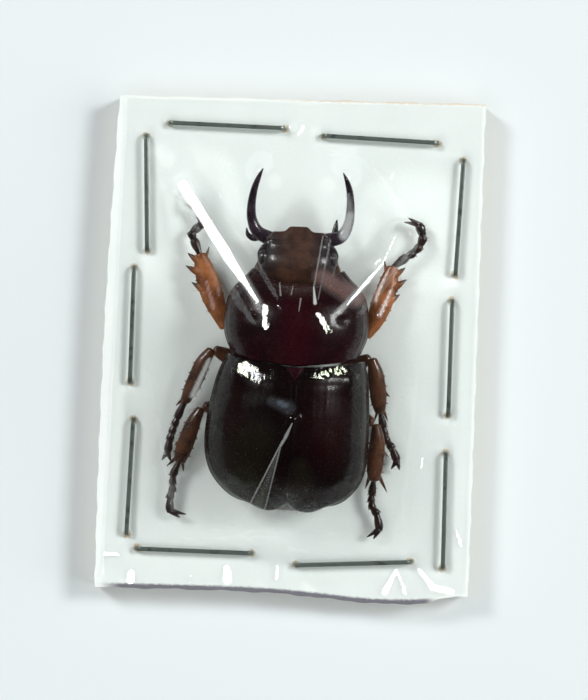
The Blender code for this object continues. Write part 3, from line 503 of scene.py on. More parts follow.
pronotum = {
    "stations": ((0.0, 4.75, 6.5, 4.9), (0.9, 5.55, 7.2, 4.7), (1.9, 6.55, 7.9, 4.5), (3.2, 7.25, 8.5, 4.3),
                 (5.0, 7.52, 8.9, 4.3), (6.8, 7.45, 9.0, 4.4), (8.4, 6.85, 8.9, 4.6), (9.2, 6.45, 8.7, 4.8)),
    "front": 7.95, "hollow": 1.5, "rearLobe": 0.75, "groove": 0.1, "middleLine": 0.05, "dimple": 0.14}


def spread(v):
    return np.sin((v - 0.5) * np.pi)


def makePronotum(spec):
    table = spline(spec["stations"], 8)
    length = table[-1, 0]

    def plan(u, v):
        r, s = spread(v), u * length
        half = lookUp(table, s, 1)
        front = spec["hollow"] * (1 - abs(r) ** 2.2) * (1 - u) ** 2
        rear = spec["rearLobe"] * (1 - abs(r) ** 1.6) * u ** 3
        return foreMiddle + half * r, spec["front"] - s - front - rear

    def crown(u, v):
        r, s = spread(v), u * length
        middle, edge = lookUp(table, s, 2), lookUp(table, s, 3)
        return edge + (middle - edge) * dome(r, 2.2)

    def top(u, v, x, y):
        s, r = u * length, spread(v)
        half = lookUp(table, s, 1)
        edge = half * (1 - abs(r))
        z = crown(u, v) - spec["groove"] * hill(edge, 0.3, 0.14)
        z -= spec["groove"] * 0.4 * hill(s, 0.42, 0.16) * (1 - abs(r) ** 4) - 0.03 * hill(s, 0.1, 0.16)
        z -= spec["middleLine"] * hill(x, foreMiddle, 0.3) * np.sin(np.pi * u)
        for side in (-1, 1):
            z -= spec["dimple"] * hill(x, foreMiddle + side * 4.9, 0.75) * hill(s, 4.9, 0.6)
        return z + 0.012 * np.sin(2.1 * x + 1.3) * np.sin(1.7 * y) + 0.05 * hill(s, length - 0.1, 0.14)

    def bottom(u, v, x, y):
        edge = lookUp(table, u * length, 3)
        return edge - 0.5 + (crown(u, v) - edge) * 0.74 * np.maximum(0, 1 - u * 2.2)

    return pieceFrom("pronotum_shield", shellRaw(plan, top, bottom, 90, 120, bulge=0.1), wineShell)


place(makePronotum(pronotum), "wine_cuticle", "pronotum")
print("pronotum done")


# Wing cases, scutellum and the plates beneath, along the hind body's own axis

hindBody = {"pivot": (0.66, -1.8), "turn": -1.5, "lean": 0.45}


def turnHind(raw):
    points, faces = raw
    turn = math.radians(hindBody["turn"])
    x, y = points[:, 0].copy(), points[:, 1].copy()
    points[:, 0] = hindBody["pivot"][0] + x * math.cos(turn) - y * math.sin(turn)
    points[:, 1] = hindBody["pivot"][1] + x * math.sin(turn) + y * math.cos(turn)
    return points, faces


elytra = {
    "stations": ((0.0, 7.15, 8.6, 4.7), (1.1, 7.65, 9.4, 4.4), (2.2, 7.95, 9.65, 4.2), (3.2, 8.12, 9.75, 4.0),
                 (5.5, 8.42, 9.9, 3.8), (8.6, 8.58, 9.8, 3.7), (10.7, 8.35, 9.2, 3.7), (12.4, 7.7, 8.2, 3.8),
                 (14.0, 6.4, 6.7, 3.9), (14.9, 5.2, 5.6, 3.9), (15.3, 4.2, 4.9, 3.9)),
    "gap": 0.03, "baseBack": 0.45, "baseCurve": 0.95, "edgeThick": 0.42,
    "shoulder": (1.7, 0.78, 0.4, 1.26, 0.141), "endKnob": (12.2, 0.68, 0.3, 1.1, 0.158),
    "sutureBead": 0.03, "ribs": (0.26, 0.45, 0.62), "ribHeight": 0.03, "rows": 9, "rowDepth": 0.01}
scutellum = {"half": 0.92, "length": 2.15, "front": 0.46, "top": 8.95, "low": 7.6}


def makeElytron(side, spec):
    table = spline(spec["stations"], 8)
    length = table[-1, 0]

    def along(u):
        return length * (1 - (1 - u) ** 1.15)

    def across(v):
        return np.sin(v * np.pi / 2)

    def plan(u, v):
        s, r = along(u), across(v)
        beside = np.maximum(0, 1 - s / (scutellum["length"] - 0.2))
        inner = spec["gap"] / 2 + (scutellum["half"] - 0.06) * beside
        start = (spec["baseBack"] - spec["baseCurve"] * r ** 1.6) * (1 - u) ** 4
        notch = (-0.5 + 0.75 * np.sin(np.pi * np.minimum(1.0, r * 1.05)) ** 0.8) * u ** 10
        x = inner + (lookUp(table, s, 1) - inner) * r
        return side * x - hindBody["lean"] * np.sin(np.pi * s / length) * r, -(s + start + notch)

    def top(u, v, x, y):
        s, r = along(u), across(v)
        middle, edge = lookUp(table, s, 2), lookUp(table, s, 3)
        z = edge + (middle - edge) * dome(r, 2.25)
        for at, out, high, long, broad in (spec["shoulder"], spec["endKnob"]):
            z += high * hill(s, at, long) * hill(r, out, broad)
        inside = np.sin(np.pi * np.clip((s - 0.6) / (length - 1.6), 0, 1)) ** 0.5
        z += inside * (spec["sutureBead"] * hill(r, 0.012, 0.02) - 0.05 * hill(r, 0.05, 0.018))
        for rib in spec["ribs"]:
            z += spec["ribHeight"] * inside * hill(r, rib, 0.035)
        z -= spec["rowDepth"] * inside * (0.5 - 0.5 * np.cos(2 * np.pi * r * spec["rows"])) * (r < 0.86)
        fromEdge = lookUp(table, s, 1) * (1 - r)
        return z - 0.1 * hill(fromEdge, 0.16, 0.1) + 0.015 * np.sin(1.9 * x + 0.7) * np.sin(1.3 * y + 0.4)

    def bottom(u, v, x, y):
        rise = 0.3 * np.sin(np.pi * across(v)) * np.sin(np.pi * u)
        return lookUp(table, along(u), 3) - spec["edgeThick"] + rise

    name = "wing_case_left" if side < 0 else "wing_case_right"
    return pieceFrom(name, turnHind(shellRaw(plan, top, bottom, 150, 110, bulge=0.1)), darkWing)


for each in (-1, 1):
    place(makeElytron(each, elytra), "wine_cuticle", "elytron_left" if each < 0 else "elytron_right")


def makeScutellum(spec):
    def plan(u, v):
        half = spec["half"] * (1 - u) ** 0.8 + 0.05
        return (2 * v - 1) * half, -(spec["front"] + spec["length"] * u)

    def top(u, v, x, y):
        r = 2 * v - 1
        return spec["top"] + 0.33 * u + 0.14 * (1 - r ** 2) - 0.06 * hill(abs(r), 0.84, 0.1)

    raw = shellRaw(plan, top, lambda u, v, x, y: spec["low"] + 0 * u, 36, 30, bulge=0.03)
    return pieceFrom("scutellum_plate", turnHind(raw), wineShell)


place(makeScutellum(scutellum), "wine_cuticle", "scutellum")
print("wing cases done")


# Plates beneath: front edge, length, half width, keel height and side height

plates = {
    "top": 3.35, "prothorax": (5.9, 6.6, 5.6, 0.95, 3.2), "sternum": (-0.55, 7.6, 7.2, 0.35, 3.2),
    "abdomen": (-8.1, 6.0, 7.7, 0.75, 3.2), "rings": 5,
    "peg": ((3.4, 1.2, 0.42, 0.4), (1.6, 0.85, 0.36, 0.4), (0.6, 0.75, 0.22, 0.25)), "hairTop": 2.9,
    "tail": (0.0, -15.15, 1.9), "tailSize": (3.3, 0.42, 1.2), "tailTilt": -18.0}
coxae = {
    "fore": ((0.7, 3.0, 1.7, 0.75, 0.7), (1.6, 2.85, 1.4, 0.7, 0.6), (2.5, 2.65, 1.2, 0.45, 0.4)),
    "middle": ((0.9, -1.1, 1.05, 0.65, 0.45), (2.2, -0.95, 1.15, 0.7, 0.5), (3.5, -0.75, 1.25, 0.45, 0.38)),
    "hind": ((0.5, -6.3, 0.95, 0.8, 0.45), (2.2, -6.1, 1.05, 0.95, 0.5), (3.6, -5.75, 1.15, 0.6, 0.42))}


def plateRaw(shape, middle, half, power, lift, rows=70, cols=80):
    front, length, halfWidth, low, high = shape

    def plan(u, v):
        return middle(u) + half(u) * halfWidth * spread(v), front - length * u

    def bottom(u, v, x, y):
        rise = low + (high - low) * np.minimum(1.0, abs(x - middle(u)) / halfWidth) ** power
        return np.minimum(plates["top"] - 0.35, rise + lift(u, x - middle(u)))

    return shellRaw(plan, lambda u, v, x, y: plates["top"] + 0 * u, bottom, rows, cols, rim=3, bulge=0.05)


def mirrored(rows, side, middle=headMiddle):
    return [(middle + side * row[0], *row[1:]) for row in rows]


def coxaPair(rows, middle):
    return [limbRaw(mirrored(rows, side, middle)) for side in (-1, 1)]


def makePlates():
    breast = plateRaw(plates["prothorax"], lambda u: foreMiddle + 0 * u,
                      lambda u: 0.79 + 0.21 * np.sin(np.pi * np.minimum(1.0, u * 1.2) / 2), 1.3,
                      lambda u, x: 0.1 * np.sin(7 * u) * hill(abs(x), 3.0, 1.2))
    peg = limbRaw([(foreMiddle, *row) for row in plates["peg"]])
    raws = [breast, peg] + coxaPair(coxae["fore"], foreMiddle)
    obj = fusedPiece("prothorax_plate", raws, brownBelly, 0.075)
    addBristles(obj, 5.0, 0.9, 0.018, (0, -1, -0.1), 1.6, 11, high=plates["hairTop"])
    place(obj, "brown_cuticle", "prothorax")
    chest = plateRaw(plates["sternum"], lambda u: 0 * u,
                     lambda u: 0.87 + 0.13 * np.sin(np.pi * u * 0.8), 1.15,
                     lambda u, x: 0.5 * (1 - u) ** 2 + 0.16 * hill(x, 0, 0.16) + 0.12 * hill(u, 0.36, 0.03))
    raws = [turnHind(r) for r in [chest] + coxaPair(coxae["middle"], 0) + coxaPair(coxae["hind"], 0)]
    obj = fusedPiece("breast_plate", raws, brownBelly, 0.08)
    addBristles(obj, 6.0, 0.9, 0.018, (0, -1, -0.1), 1.8, 12, high=plates["hairTop"])
    place(obj, "brown_cuticle", "sternum")

    def rings(u, x):
        step = u * plates["rings"] % 1.0
        return 0.75 * u ** 2 - 0.16 * step ** 3 + 0.05 * hill(step, 0.08, 0.06)

    belly = plateRaw(plates["abdomen"], lambda u: -0.7 * hindBody["lean"] * np.sin(np.pi * (0.52 + 0.48 * u)),
                     lambda u: 1 - 0.55 * u ** 2.6, 1.9, rings, rows=100)
    obj = pieceFrom("belly_rings", turnHind(belly), brownBelly, 40)
    addBristles(obj, 2.5, 0.6, 0.016, (0, -1, -0.05), 1.6, 13, high=plates["hairTop"])
    place(obj, "brown_cuticle", "abdomen")
    tail = ballRaw(plates["tailSize"], plates["tail"], 64, 40, plates["tailTilt"])
    obj = pieceFrom("pygidium_plate", turnHind(tail), brownBelly)
    addBristles(obj, 3.0, 0.5, 0.016, (0, -1, -0.3), 0.8, 14, high=plates["hairTop"])
    place(obj, "brown_cuticle", "pygidium")


makePlates()
print("underside done")


# Head, eyes and mouth

head = {
    # along the body: half width, edge height, top, underside
    "stations": ((6.3, 3.2, 3.9, 5.0, 2.9), (7.3, 3.75, 4.0, 5.6, 2.5), (8.3, 4.0, 4.1, 6.0, 2.35),
                 (9.3, 3.85, 4.2, 5.9, 2.4), (10.1, 3.5, 4.3, 5.5, 2.6), (10.75, 3.32, 4.4, 5.15, 3.0),
                 (11.3, 3.38, 4.5, 4.98, 3.8), (11.7, 3.32, 4.4, 4.8, 3.95), (11.95, 3.0, 4.3, 4.66, 4.0)),
    "lobe": 0.58, "lobeHalf": 0.4, "suture": 10.85, "margin": 0.14,
    "cheek": ((3.0, 10.75, 4.5, 0.3, 0.22), (3.65, 10.3, 4.55, 0.26, 0.14), (4.05, 9.75, 4.6, 0.2, 0.1),
              (4.18, 9.3, 4.62, 0.1, 0.07))}
eye = {"out": 3.62, "y": 9.15, "z": 4.35, "size": (0.62, 0.95, 0.85)}


def makeHead(spec):
    table = spline(spec["stations"], 6)
    back, front = table[0, 0], table[-1, 0]

    def reach(r):
        corner = 0.35 * np.maximum(0, abs(r) - 0.88) / 0.12
        return spec["lobe"] / (1 + (abs(r) / spec["lobeHalf"]) ** 9) - corner

    def plan(u, v):
        r = spread(v)
        y = back + (front - back) * u
        return headMiddle + lookUp(table, y, 1) * r, y + reach(r) * u ** 4

    def top(u, v, x, y):
        r, at = spread(v), back + (front - back) * u
        edge, high = lookUp(table, at, 2), lookUp(table, at, 3)
        z = edge + (high - edge) * (1 - abs(r) ** 2.8) ** 0.5
        seam = spec["suture"]
        z -= 0.09 * hill(at, seam + 0.25 * r ** 2, 0.09) - 0.05 * hill(at, seam - 0.25, 0.2)
        toFront = (1 - u) * (front - back)
        rim = spec["margin"] * hill(toFront, 0.06, 0.16) * (1 - 0.5 * abs(r) ** 6)
        z += rim - 0.08 * hill(toFront, 0.45, 0.22)
        return z - 0.1 * hill(abs(r), 0.35, 0.2) * hill(at, 9.9, 0.6) - 0.15 * np.maximum(0, y - front)

    def bottom(u, v, x, y):
        r, at = spread(v), back + (front - back) * u
        edge, low = lookUp(table, at, 2), lookUp(table, at, 4)
        return edge - (edge - low) * (1 - abs(r) ** 3) ** 0.5 - 0.02

    cheeks = [limbRaw(mirrored(spec["cheek"], side)) for side in (-1, 1)]
    capsule = shellRaw(plan, top, bottom, 90, 90, bulge=0.02)
    return fusedPiece("head_capsule", [capsule] + cheeks, brownHead, 0.055, 2)


def makeEye(side, spec):
    ball = ballRaw(spec["size"], (headMiddle + side * spec["out"], spec["y"], spec["z"]), 56, 36)
    return pieceFrom("eye_ball_left" if side < 0 else "eye_ball_right", ball, facetEye)


headPiece = makeHead(head)
addBristles(headPiece, 2.2, 0.45, 0.014, (0, 1, 0.1), 1.2, 21, high=3.9)
place(headPiece, "brown_cuticle", "head", "clypeus")
for each in (-1, 1):
    place(makeEye(each, eye), "eye", "eye_left" if each < 0 else "eye_right")

mandibles = {
    "left": (((-2.45, 11.2, 3.0, 0.78, 0.55), (-3.8, 11.9, 3.05, 0.66, 0.52), (-4.48, 13.2, 3.2, 0.52, 0.46),
              (-4.58, 14.8, 3.6, 0.44, 0.4), (-4.32, 16.4, 4.15, 0.36, 0.33), (-3.9, 17.6, 4.6, 0.25, 0.24),
              (-3.48, 18.5, 4.9, 0.07, 0.07)),
             ((-3.3, 11.6, 2.8, 0.4, 0.35), (-4.2, 11.25, 2.55, 0.36, 0.3), (-4.85, 11.6, 2.45, 0.26, 0.22),
              (-5.05, 12.3, 2.45, 0.07, 0.07))),
    "right": (((3.45, 11.2, 3.0, 0.78, 0.55), (5.0, 11.7, 3.05, 0.66, 0.52), (5.7, 13.0, 3.2, 0.52, 0.46),
               (5.86, 14.6, 3.6, 0.44, 0.4), (5.74, 16.2, 4.15, 0.36, 0.33), (5.4, 17.4, 4.6, 0.25, 0.24),
               (4.96, 18.3, 4.9, 0.07, 0.07)),
              ((4.5, 11.5, 2.8, 0.42, 0.36), (4.35, 12.1, 2.5, 0.36, 0.3), (4.4, 12.8, 2.4, 0.26, 0.22),
               (4.5, 13.5, 2.4, 0.07, 0.07)))}
for each, (sickle, branch) in mandibles.items():
    raws = [limbRaw(sickle, 28, 10, ribs=0.03), limbRaw(branch, 20, 8)]
    place(fusedPiece("mandible_horn_" + each, raws, purpleHorn, 0.05, 3), "dark_cuticle", "mandible_" + each)

feelers = {
    "shaft": ((2.3, 10.3, 1.95, 0.26, 0.26), (3.0, 10.5, 1.75, 0.3, 0.3), (3.6, 10.0, 1.55, 0.24, 0.24),
              (3.95, 9.3, 1.45, 0.22, 0.22), (4.05, 8.7, 1.4, 0.28, 0.28)),
    "beads": 5,
    "club": ((4.05, 8.85, 0.22, 0.2, 0.0), (4.1, 8.1, 0.42, 0.2, 0.34), (4.15, 7.2, 0.4, 0.2, 0.62),
             (4.2, 6.6, 0.18, 0.15, 0.65)),
    "clubHeight": 1.37,
    "chin": ((0.0, 8.0, 1.55, 1.2, 0.35), (0.0, 9.2, 1.55, 1.5, 0.45), (0.0, 10.4, 1.6, 1.2, 0.4),
             (0.0, 11.1, 1.7, 0.7, 0.3)),
    "jawPalp": ((0.9, 9.2, 1.45, 0.24, 0.24), (1.6, 10.1, 1.35, 0.26, 0.25), (1.9, 11.0, 1.3, 0.25, 0.25),
                (1.6, 11.9, 1.3, 0.12, 0.12)),
    "lipPalp": ((0.4, 10.8, 1.5, 0.2, 0.2), (0.6, 11.6, 1.3, 0.2, 0.2), (0.55, 12.3, 1.25, 0.09, 0.09))}


def jointed(rows, count, neck=0.72):
    fine = spline(rows, 12)
    share = np.linspace(0, count, len(fine)) % 1.0
    share[-1] = 0.85
    fine[:, 3:5] *= (neck + (1.08 - neck) * np.sin(np.pi * np.clip(share, 0.02, 0.98)) ** 0.5)[:, None]
    return limbRaw(fine, 18, 2)


for each, name in ((-1, "left"), (1, "right")):
    raws = [jointed(mirrored(feelers["shaft"], each), feelers["beads"])]
    for leaf in (-1, 0, 1):
        rows = [(x + 0.09 * (leaf + 1) * fan, y, feelers["clubHeight"] + leaf * fan, wide, thick)
                for x, y, wide, thick, fan in feelers["club"]]
        raws.append(limbRaw(mirrored(rows, each), 22, 8))
    obj = fusedPiece("feeler_" + name, raws, clubBrown, 0.045, 2)
    addBristles(obj, 7.0, 0.28, 0.01, (0, -1, 0), 1.0, 31 + each)
    place(obj, "dark_cuticle", "antenna_" + name)
raws = [limbRaw(mirrored(feelers["chin"], 1), 30, 8)]
for each in (-1, 1):
    raws += [jointed(mirrored(feelers["jawPalp"], each), 3), jointed(mirrored(feelers["lipPalp"], each), 2)]
obj = fusedPiece("mouth_palps", raws, brownBelly, 0.05, 2)
addBristles(obj, 4.0, 0.4, 0.012, (0, 1, -0.1), 0.9, 33)
place(obj, "brown_cuticle", "mouthparts")
print("head done")


# Legs. A limb's stations are x, y, height, half width, half thickness. A spine is its root, its tip and
# its root radius. Tarsus points are the joints, and claws give the two tips.

legs = {
    "left_fore": {
        "femur": ((-2.35, 2.6, 1.25, 0.6, 0.5), (-4.1, 2.2, 1.7, 0.95, 0.6), (-5.65, 1.75, 2.1, 0.85, 0.58),
            (-6.65, 1.4, 2.35, 0.5, 0.45)),
        "tibia": ((-7.15, 1.75, 2.4, 0.42, 0.4), (-7.7, 3.3, 2.35, 0.85, 0.5), (-8.35, 4.9, 2.2, 1.12, 0.5),
            (-8.95, 6.5, 2.0, 1.12, 0.45), (-9.5, 8.1, 1.8, 0.92, 0.42), (-9.85, 9.2, 1.7, 0.66, 0.4)),
        "spines": (((-9.3, 5.5, 2.1), (-10.65, 6.35, 1.9), 0.42),
            ((-9.8, 7.3, 1.9), (-11.35, 8.1, 1.7), 0.46), ((-10.1, 8.6, 1.8), (-11.2, 9.45, 1.6), 0.4),
            ((-9.3, 9.0, 1.6), (-8.95, 10.2, 1.3), 0.2)),
        "tarsus": ((-10.1, 9.7, 1.55), (-10.55, 10.75, 1.35), (-10.9, 11.6, 1.25), (-10.25, 12.2, 1.2),
            (-9.7, 12.7, 1.15), (-10.3, 14.0, 1.1)),
        "claws": ((-11.9, 14.75, 0.8), (-11.8, 15.6, 0.9))},
    "right_fore": {
        "femur": ((3.55, 2.6, 1.25, 0.6, 0.5), (5.2, 2.2, 1.7, 0.95, 0.6), (6.7, 1.5, 2.1, 0.85, 0.58),
            (7.7, 1.05, 2.35, 0.5, 0.45)),
        "tibia": ((8.2, 1.35, 2.4, 0.42, 0.4), (8.9, 2.9, 2.35, 0.85, 0.5), (9.45, 4.5, 2.2, 1.08, 0.5),
            (9.95, 6.0, 2.0, 1.05, 0.45), (10.3, 7.4, 1.8, 0.9, 0.42), (10.55, 8.6, 1.7, 0.6, 0.4)),
        "spines": (((10.25, 4.9, 2.1), (11.45, 5.85, 1.9), 0.42), ((10.8, 6.5, 1.9), (12.1, 7.45, 1.7), 0.46),
            ((10.8, 7.8, 1.8), (11.95, 8.7, 1.6), 0.4), ((9.9, 8.2, 1.6), (9.7, 9.4, 1.3), 0.2)),
        "tarsus": ((10.95, 9.05, 1.55), (11.9, 9.75, 1.4), (12.75, 10.3, 1.3), (13.4, 11.0, 1.2),
            (13.75, 12.0, 1.15), (13.3, 13.3, 1.1)),
        "claws": ((12.0, 14.1, 0.8), (11.5, 13.6, 0.9))},
    "left_middle": {
        "femur": ((-3.7, -2.6, 0.95, 0.6, 0.42), (-5.3, -1.9, 1.15, 0.85, 0.48),
            (-6.8, -1.25, 1.55, 0.8, 0.48), (-7.85, -0.75, 2.05, 0.52, 0.42)),
        "tibia": ((-8.38, -0.85, 2.3, 0.5, 0.42), (-9.15, -2.1, 2.25, 0.76, 0.48),
            (-9.75, -3.6, 2.05, 0.82, 0.48), (-10.35, -5.0, 1.8, 0.74, 0.45), (-10.9, -6.2, 1.6, 0.52, 0.4)),
        "spines": (((-10.15, -4.0, 2.0), (-11.1, -4.7, 1.8), 0.24),
            ((-10.8, -5.7, 1.6), (-11.9, -6.8, 1.2), 0.26), ((-10.7, -6.0, 1.6), (-11.25, -7.6, 1.1), 0.24)),
        "tarsus": ((-11.25, -6.85, 1.45), (-11.65, -7.95, 1.3), (-11.95, -8.8, 1.2), (-12.2, -9.6, 1.15),
            (-12.4, -10.35, 1.1), (-12.6, -11.7, 1.0)),
        "claws": ((-13.25, -12.75, 0.75), (-12.15, -12.9, 0.8))},
    "right_middle": {
        "femur": ((5.0, -2.7, 0.95, 0.6, 0.42), (6.4, -2.1, 1.15, 0.85, 0.48), (7.55, -1.55, 1.55, 0.8, 0.48),
            (8.35, -1.05, 2.05, 0.52, 0.42)),
        "tibia": ((8.8, -1.25, 2.3, 0.5, 0.42), (9.15, -2.6, 2.25, 0.8, 0.48), (9.42, -4.1, 2.05, 0.86, 0.48),
            (9.62, -5.5, 1.8, 0.8, 0.45), (9.8, -6.6, 1.6, 0.56, 0.4)),
        "spines": (((9.95, -4.3, 2.0), (10.75, -5.05, 1.8), 0.24),
            ((10.0, -6.1, 1.6), (10.65, -7.6, 1.2), 0.24), ((9.6, -6.3, 1.6), (9.25, -7.7, 1.1), 0.22)),
        "tarsus": ((9.98, -7.25, 1.45), (10.2, -8.2, 1.3), (10.4, -9.0, 1.2), (10.65, -9.75, 1.15),
            (11.2, -10.45, 1.1), (11.78, -11.75, 1.0)),
        "claws": ((11.15, -12.85, 0.75), (12.15, -12.9, 0.8))},
    "left_hind": {
        "femur": ((-3.8, -7.2, 0.9, 0.7, 0.42), (-5.6, -7.2, 1.1, 1.1, 0.5), (-7.4, -7.0, 1.45, 0.95, 0.5),
            (-8.75, -6.75, 1.85, 0.55, 0.44)),
        "tibia": ((-9.3, -7.15, 2.0, 0.48, 0.44), (-9.9, -8.4, 1.95, 0.72, 0.5),
            (-10.45, -10.0, 1.8, 0.84, 0.52), (-10.95, -11.5, 1.6, 0.82, 0.5),
            (-11.25, -12.6, 1.45, 0.62, 0.45)),
        "spines": (((-10.9, -10.2, 1.8), (-11.85, -10.95, 1.6), 0.24),
            ((-11.3, -12.0, 1.5), (-12.65, -13.25, 1.1), 0.26),
            ((-11.0, -12.3, 1.4), (-10.85, -13.75, 1.0), 0.24)),
        "tarsus": ((-11.6, -13.2, 1.35), (-11.95, -14.2, 1.25), (-11.95, -15.05, 1.15), (-11.95, -15.85, 1.1),
            (-12.2, -16.6, 1.05), (-12.15, -17.95, 1.0)),
        "claws": ((-10.95, -18.75, 0.75), (-10.25, -18.35, 0.8))},
    "right_hind": {
        "femur": ((5.0, -7.3, 0.9, 0.7, 0.42), (6.5, -7.4, 1.1, 1.1, 0.5), (7.9, -7.55, 1.45, 0.95, 0.5),
            (8.9, -7.75, 1.85, 0.55, 0.44)),
        "tibia": ((9.45, -8.25, 2.0, 0.48, 0.44), (9.6, -9.6, 1.95, 0.74, 0.5),
            (9.55, -11.2, 1.8, 0.86, 0.52), (9.45, -12.7, 1.6, 0.82, 0.5), (9.4, -13.8, 1.45, 0.62, 0.45)),
        "spines": (((9.95, -10.6, 1.8), (10.85, -11.4, 1.6), 0.24),
            ((9.8, -13.2, 1.5), (10.85, -15.2, 1.0), 0.26), ((9.0, -13.4, 1.4), (8.55, -14.9, 1.0), 0.24)),
        "tarsus": ((9.35, -14.45, 1.35), (9.25, -15.45, 1.25), (9.2, -16.2, 1.15), (9.35, -16.9, 1.1),
            (9.85, -17.5, 1.05), (10.2, -19.1, 1.0)),
        "claws": ((9.55, -20.35, 0.75), (8.75, -20.15, 0.85))}}


amberShin = cuticleMaterial(
    "amberShin", (0.3, 0.105, 0.032), (0.15, 0.045, 0.014), (0.45, 0.19, 0.07), patch=0.5, pits=4.0,
    pitSize=0.26, rough=0.3, relief=0.01, coat=0.2, index=1.42,
    spots=[((*tip[:2], tip[2] + cardTop), (1.0, 1.0, 3.0), (0.022, 0.012, 0.01), 0.95)
           for key in ("left_fore", "right_fore") for _, tip, _ in legs[key]["spines"]])


def spineRaw(root, tip, radius, flat=0.75):
    middle = [(a + b) / 2 for a, b in zip(root, tip)]
    return limbRaw(((*root, radius, radius * flat), (*middle, radius * 0.7, radius * 0.7 * flat),
                    (*tip, 0.05, 0.05)), 14, 6)


toes = {
    "bulk": {"fore": 1.22, "middle": 1.08, "hind": 1.08}, "sizes": (0.38, 0.36, 0.37, 0.39, 0.4),
    # share of the way along a segment, and its width there
    "bell": ((-0.06, 0.62), (0.15, 0.72), (0.55, 0.98), (0.85, 1.1), (1.02, 0.95)),
    "lastBell": ((-0.04, 0.6), (0.2, 0.8), (0.6, 1.05), (0.88, 1.05), (1.02, 0.85)),
    # share of the way to the tip, lift, half width and half thickness
    "claw": ((-0.08, 0, 0.34, 0.26), (0.28, 0.8, 0.27, 0.22), (0.55, 1, 0.18, 0.17), (0.78, 0.45, 0.11, 0.11),
             (0.92, 0, 0.04, 0.04)), "clawArch": 0.35}


def footRaws(joints, claws, bulk):
    raws = []
    for k, (a, b) in enumerate(zip(joints, joints[1:])):
        last = k == len(joints) - 2
        size = bulk * toes["sizes"][k]
        bell = toes["lastBell"] if last else toes["bell"]
        rows = [(*(a + (b - a) * t), size * wide, size * wide * 0.86) for t, wide in bell]
        raws.append(limbRaw(rows, 16, 4))
        if not last:
            way = (b - a) / np.linalg.norm(b - a)
            across = np.array((-way[1], way[0], 0))
            for side in (-1, 1):
                root = b - way * 0.15 + across * side * size * 0.7 - (0, 0, 0.05)
                tip = root + way * 0.32 + across * side * 0.16 - (0, 0, 0.06)
                raws.append(spineRaw(root, tip, 0.065, 1.0))
    root = joints[-1]
    for tip in claws:
        tip, arch = np.array(tip), np.array((0, 0, toes["clawArch"]))
        raws.append(limbRaw([(*(root + (tip - root) * t + arch * lift), wide, thick)
                             for t, lift, wide, thick in toes["claw"]], 12, 5))
    return raws


def makeLeg(key, leg, seed):
    side, order = key.split("_")
    tag = f"{order}_{side}"
    shade = amberShin if order == "fore" else brownShin
    ankle = np.array(leg["tibia"][-1][:3])
    way = ankle - np.array(leg["tibia"][0][:3])
    ring, second = leg["femur"][:2]
    inward = [a * 0.75 + b * 0.25 for a, b in zip(ring[:3], second[:3])]
    joint = limbRaw(((*ring[:3], 0.55, 0.44), (*inward, 0.66, 0.5)), 16, 3)
    obj = fusedPiece("thigh_" + tag, [limbRaw(leg["femur"], 26, 8, ribs=0.02), joint], shade, 0.06, 3)
    addBristles(obj, 1.6, 0.45, 0.013, way, 0.9, seed)
    place(obj, "leg_cuticle", "femur_" + tag)
    raws = [limbRaw(leg["tibia"], 30, 10, ribs=0.045)] + [spineRaw(*spine) for spine in leg["spines"]]
    fine = spline(leg["tibia"], 6)
    along = unit(np.gradient(fine[:, :3], axis=0))
    out = np.cross(along, (0, 0, 1)) * (1 if side == "right" else -1)
    for k in range(7, len(fine) - 4, 4):          # small teeth along both edges
        for edge in (1, -1):
            root = fine[k, :3] + out[k] * edge * fine[k, 3] * 0.86
            raws.append(spineRaw(root, root + out[k] * edge * 0.3 + along[k] * 0.24, 0.085, 0.9))
    obj = fusedPiece("shin_" + tag, raws, shade, 0.05, 2)
    addBristles(obj, 2.6, 0.55, 0.014, way, 0.8, seed + 1)
    place(obj, "leg_cuticle", "tibia_" + tag)
    joints = np.array(leg["tarsus"])
    footWay = joints[-1] - joints[0]
    joints[0] += 0.55 * (ankle - joints[0])
    obj = fusedPiece("foot_" + tag, footRaws(joints, leg["claws"], toes["bulk"][order]), darkFoot, 0.038, 2)
    addBristles(obj, 5.0, 0.34, 0.012, footWay, 0.9, seed + 2)
    place(obj, "leg_cuticle", "tarsus_" + tag)


for number, (key, leg) in enumerate(legs.items()):
    makeLeg(key, leg, 40 + 5 * number)
print("legs done")


# Card: paper faces on a tan core, cut by hand

card = {"corners": ((-19.1, 26.1), (19.97, 26.5), (19.95, -26.1), (-19.98, -26.5)), "thick": 3.2,
        "sides": (39, 52.5), "cell": 0.42, "bevel": 0.16, "bow": 0.42,
        "sag": 1.0, "sagMiddle": 11.6, "sagWidth": 9.3, "sagEnd": 18.6,
        "white": (0.86, 0.915, 0.892, 1), "shade": (0.82, 0.885, 0.86, 1), "fibre": (0.62, 0.66, 0.6, 1),
        # the dark colour on the next line is painted shadow for the card's lower edge
        "tanRim": (0.66, 0.52, 0.36, 1), "paintedEdgeShadow": (0.1, 0.09, 0.125, 1),
        "core": ((0.52, 0.42, 0.28, 1), (0.76, 0.68, 0.52, 1))}
staples = {
    "crown": 12.8, "wire": 0.46, "foot": 2.6, "bend": 0.55, "crownHeight": 0.66,
    "dent": 0.1, "hole": 0.22, "groove": 0.62,      # depths in the card under crown, corners and feet
    "places": {
        "top_left": (-7.55, 23.2, -0.8), "top_right": (8.85, 22.3, -1.6), "right_upper": (17.55, 14.3, 88.0),
        "right_middle": (17.1, -0.7, 90.0), "right_lower": (17.05, -17.0, 90.5),
        "bottom_right": (7.55, -22.95, 3.6), "bottom_left": (-9.45, -22.2, -0.4),
        "left_lower": (-16.55, -14.55, 88.6), "left_middle": (-16.9, 1.65, 90.0),
        "left_upper": (-15.85, 15.75, 92.5)}}


def stapleLine(spot):
    x, y, turn = spot
    way = np.array((math.cos(math.radians(turn)), math.sin(math.radians(turn))))
    reach = (staples["crown"] - 0.5) / 2
    return np.array((x, y)) - way * reach, np.array((x, y)) + way * reach, way


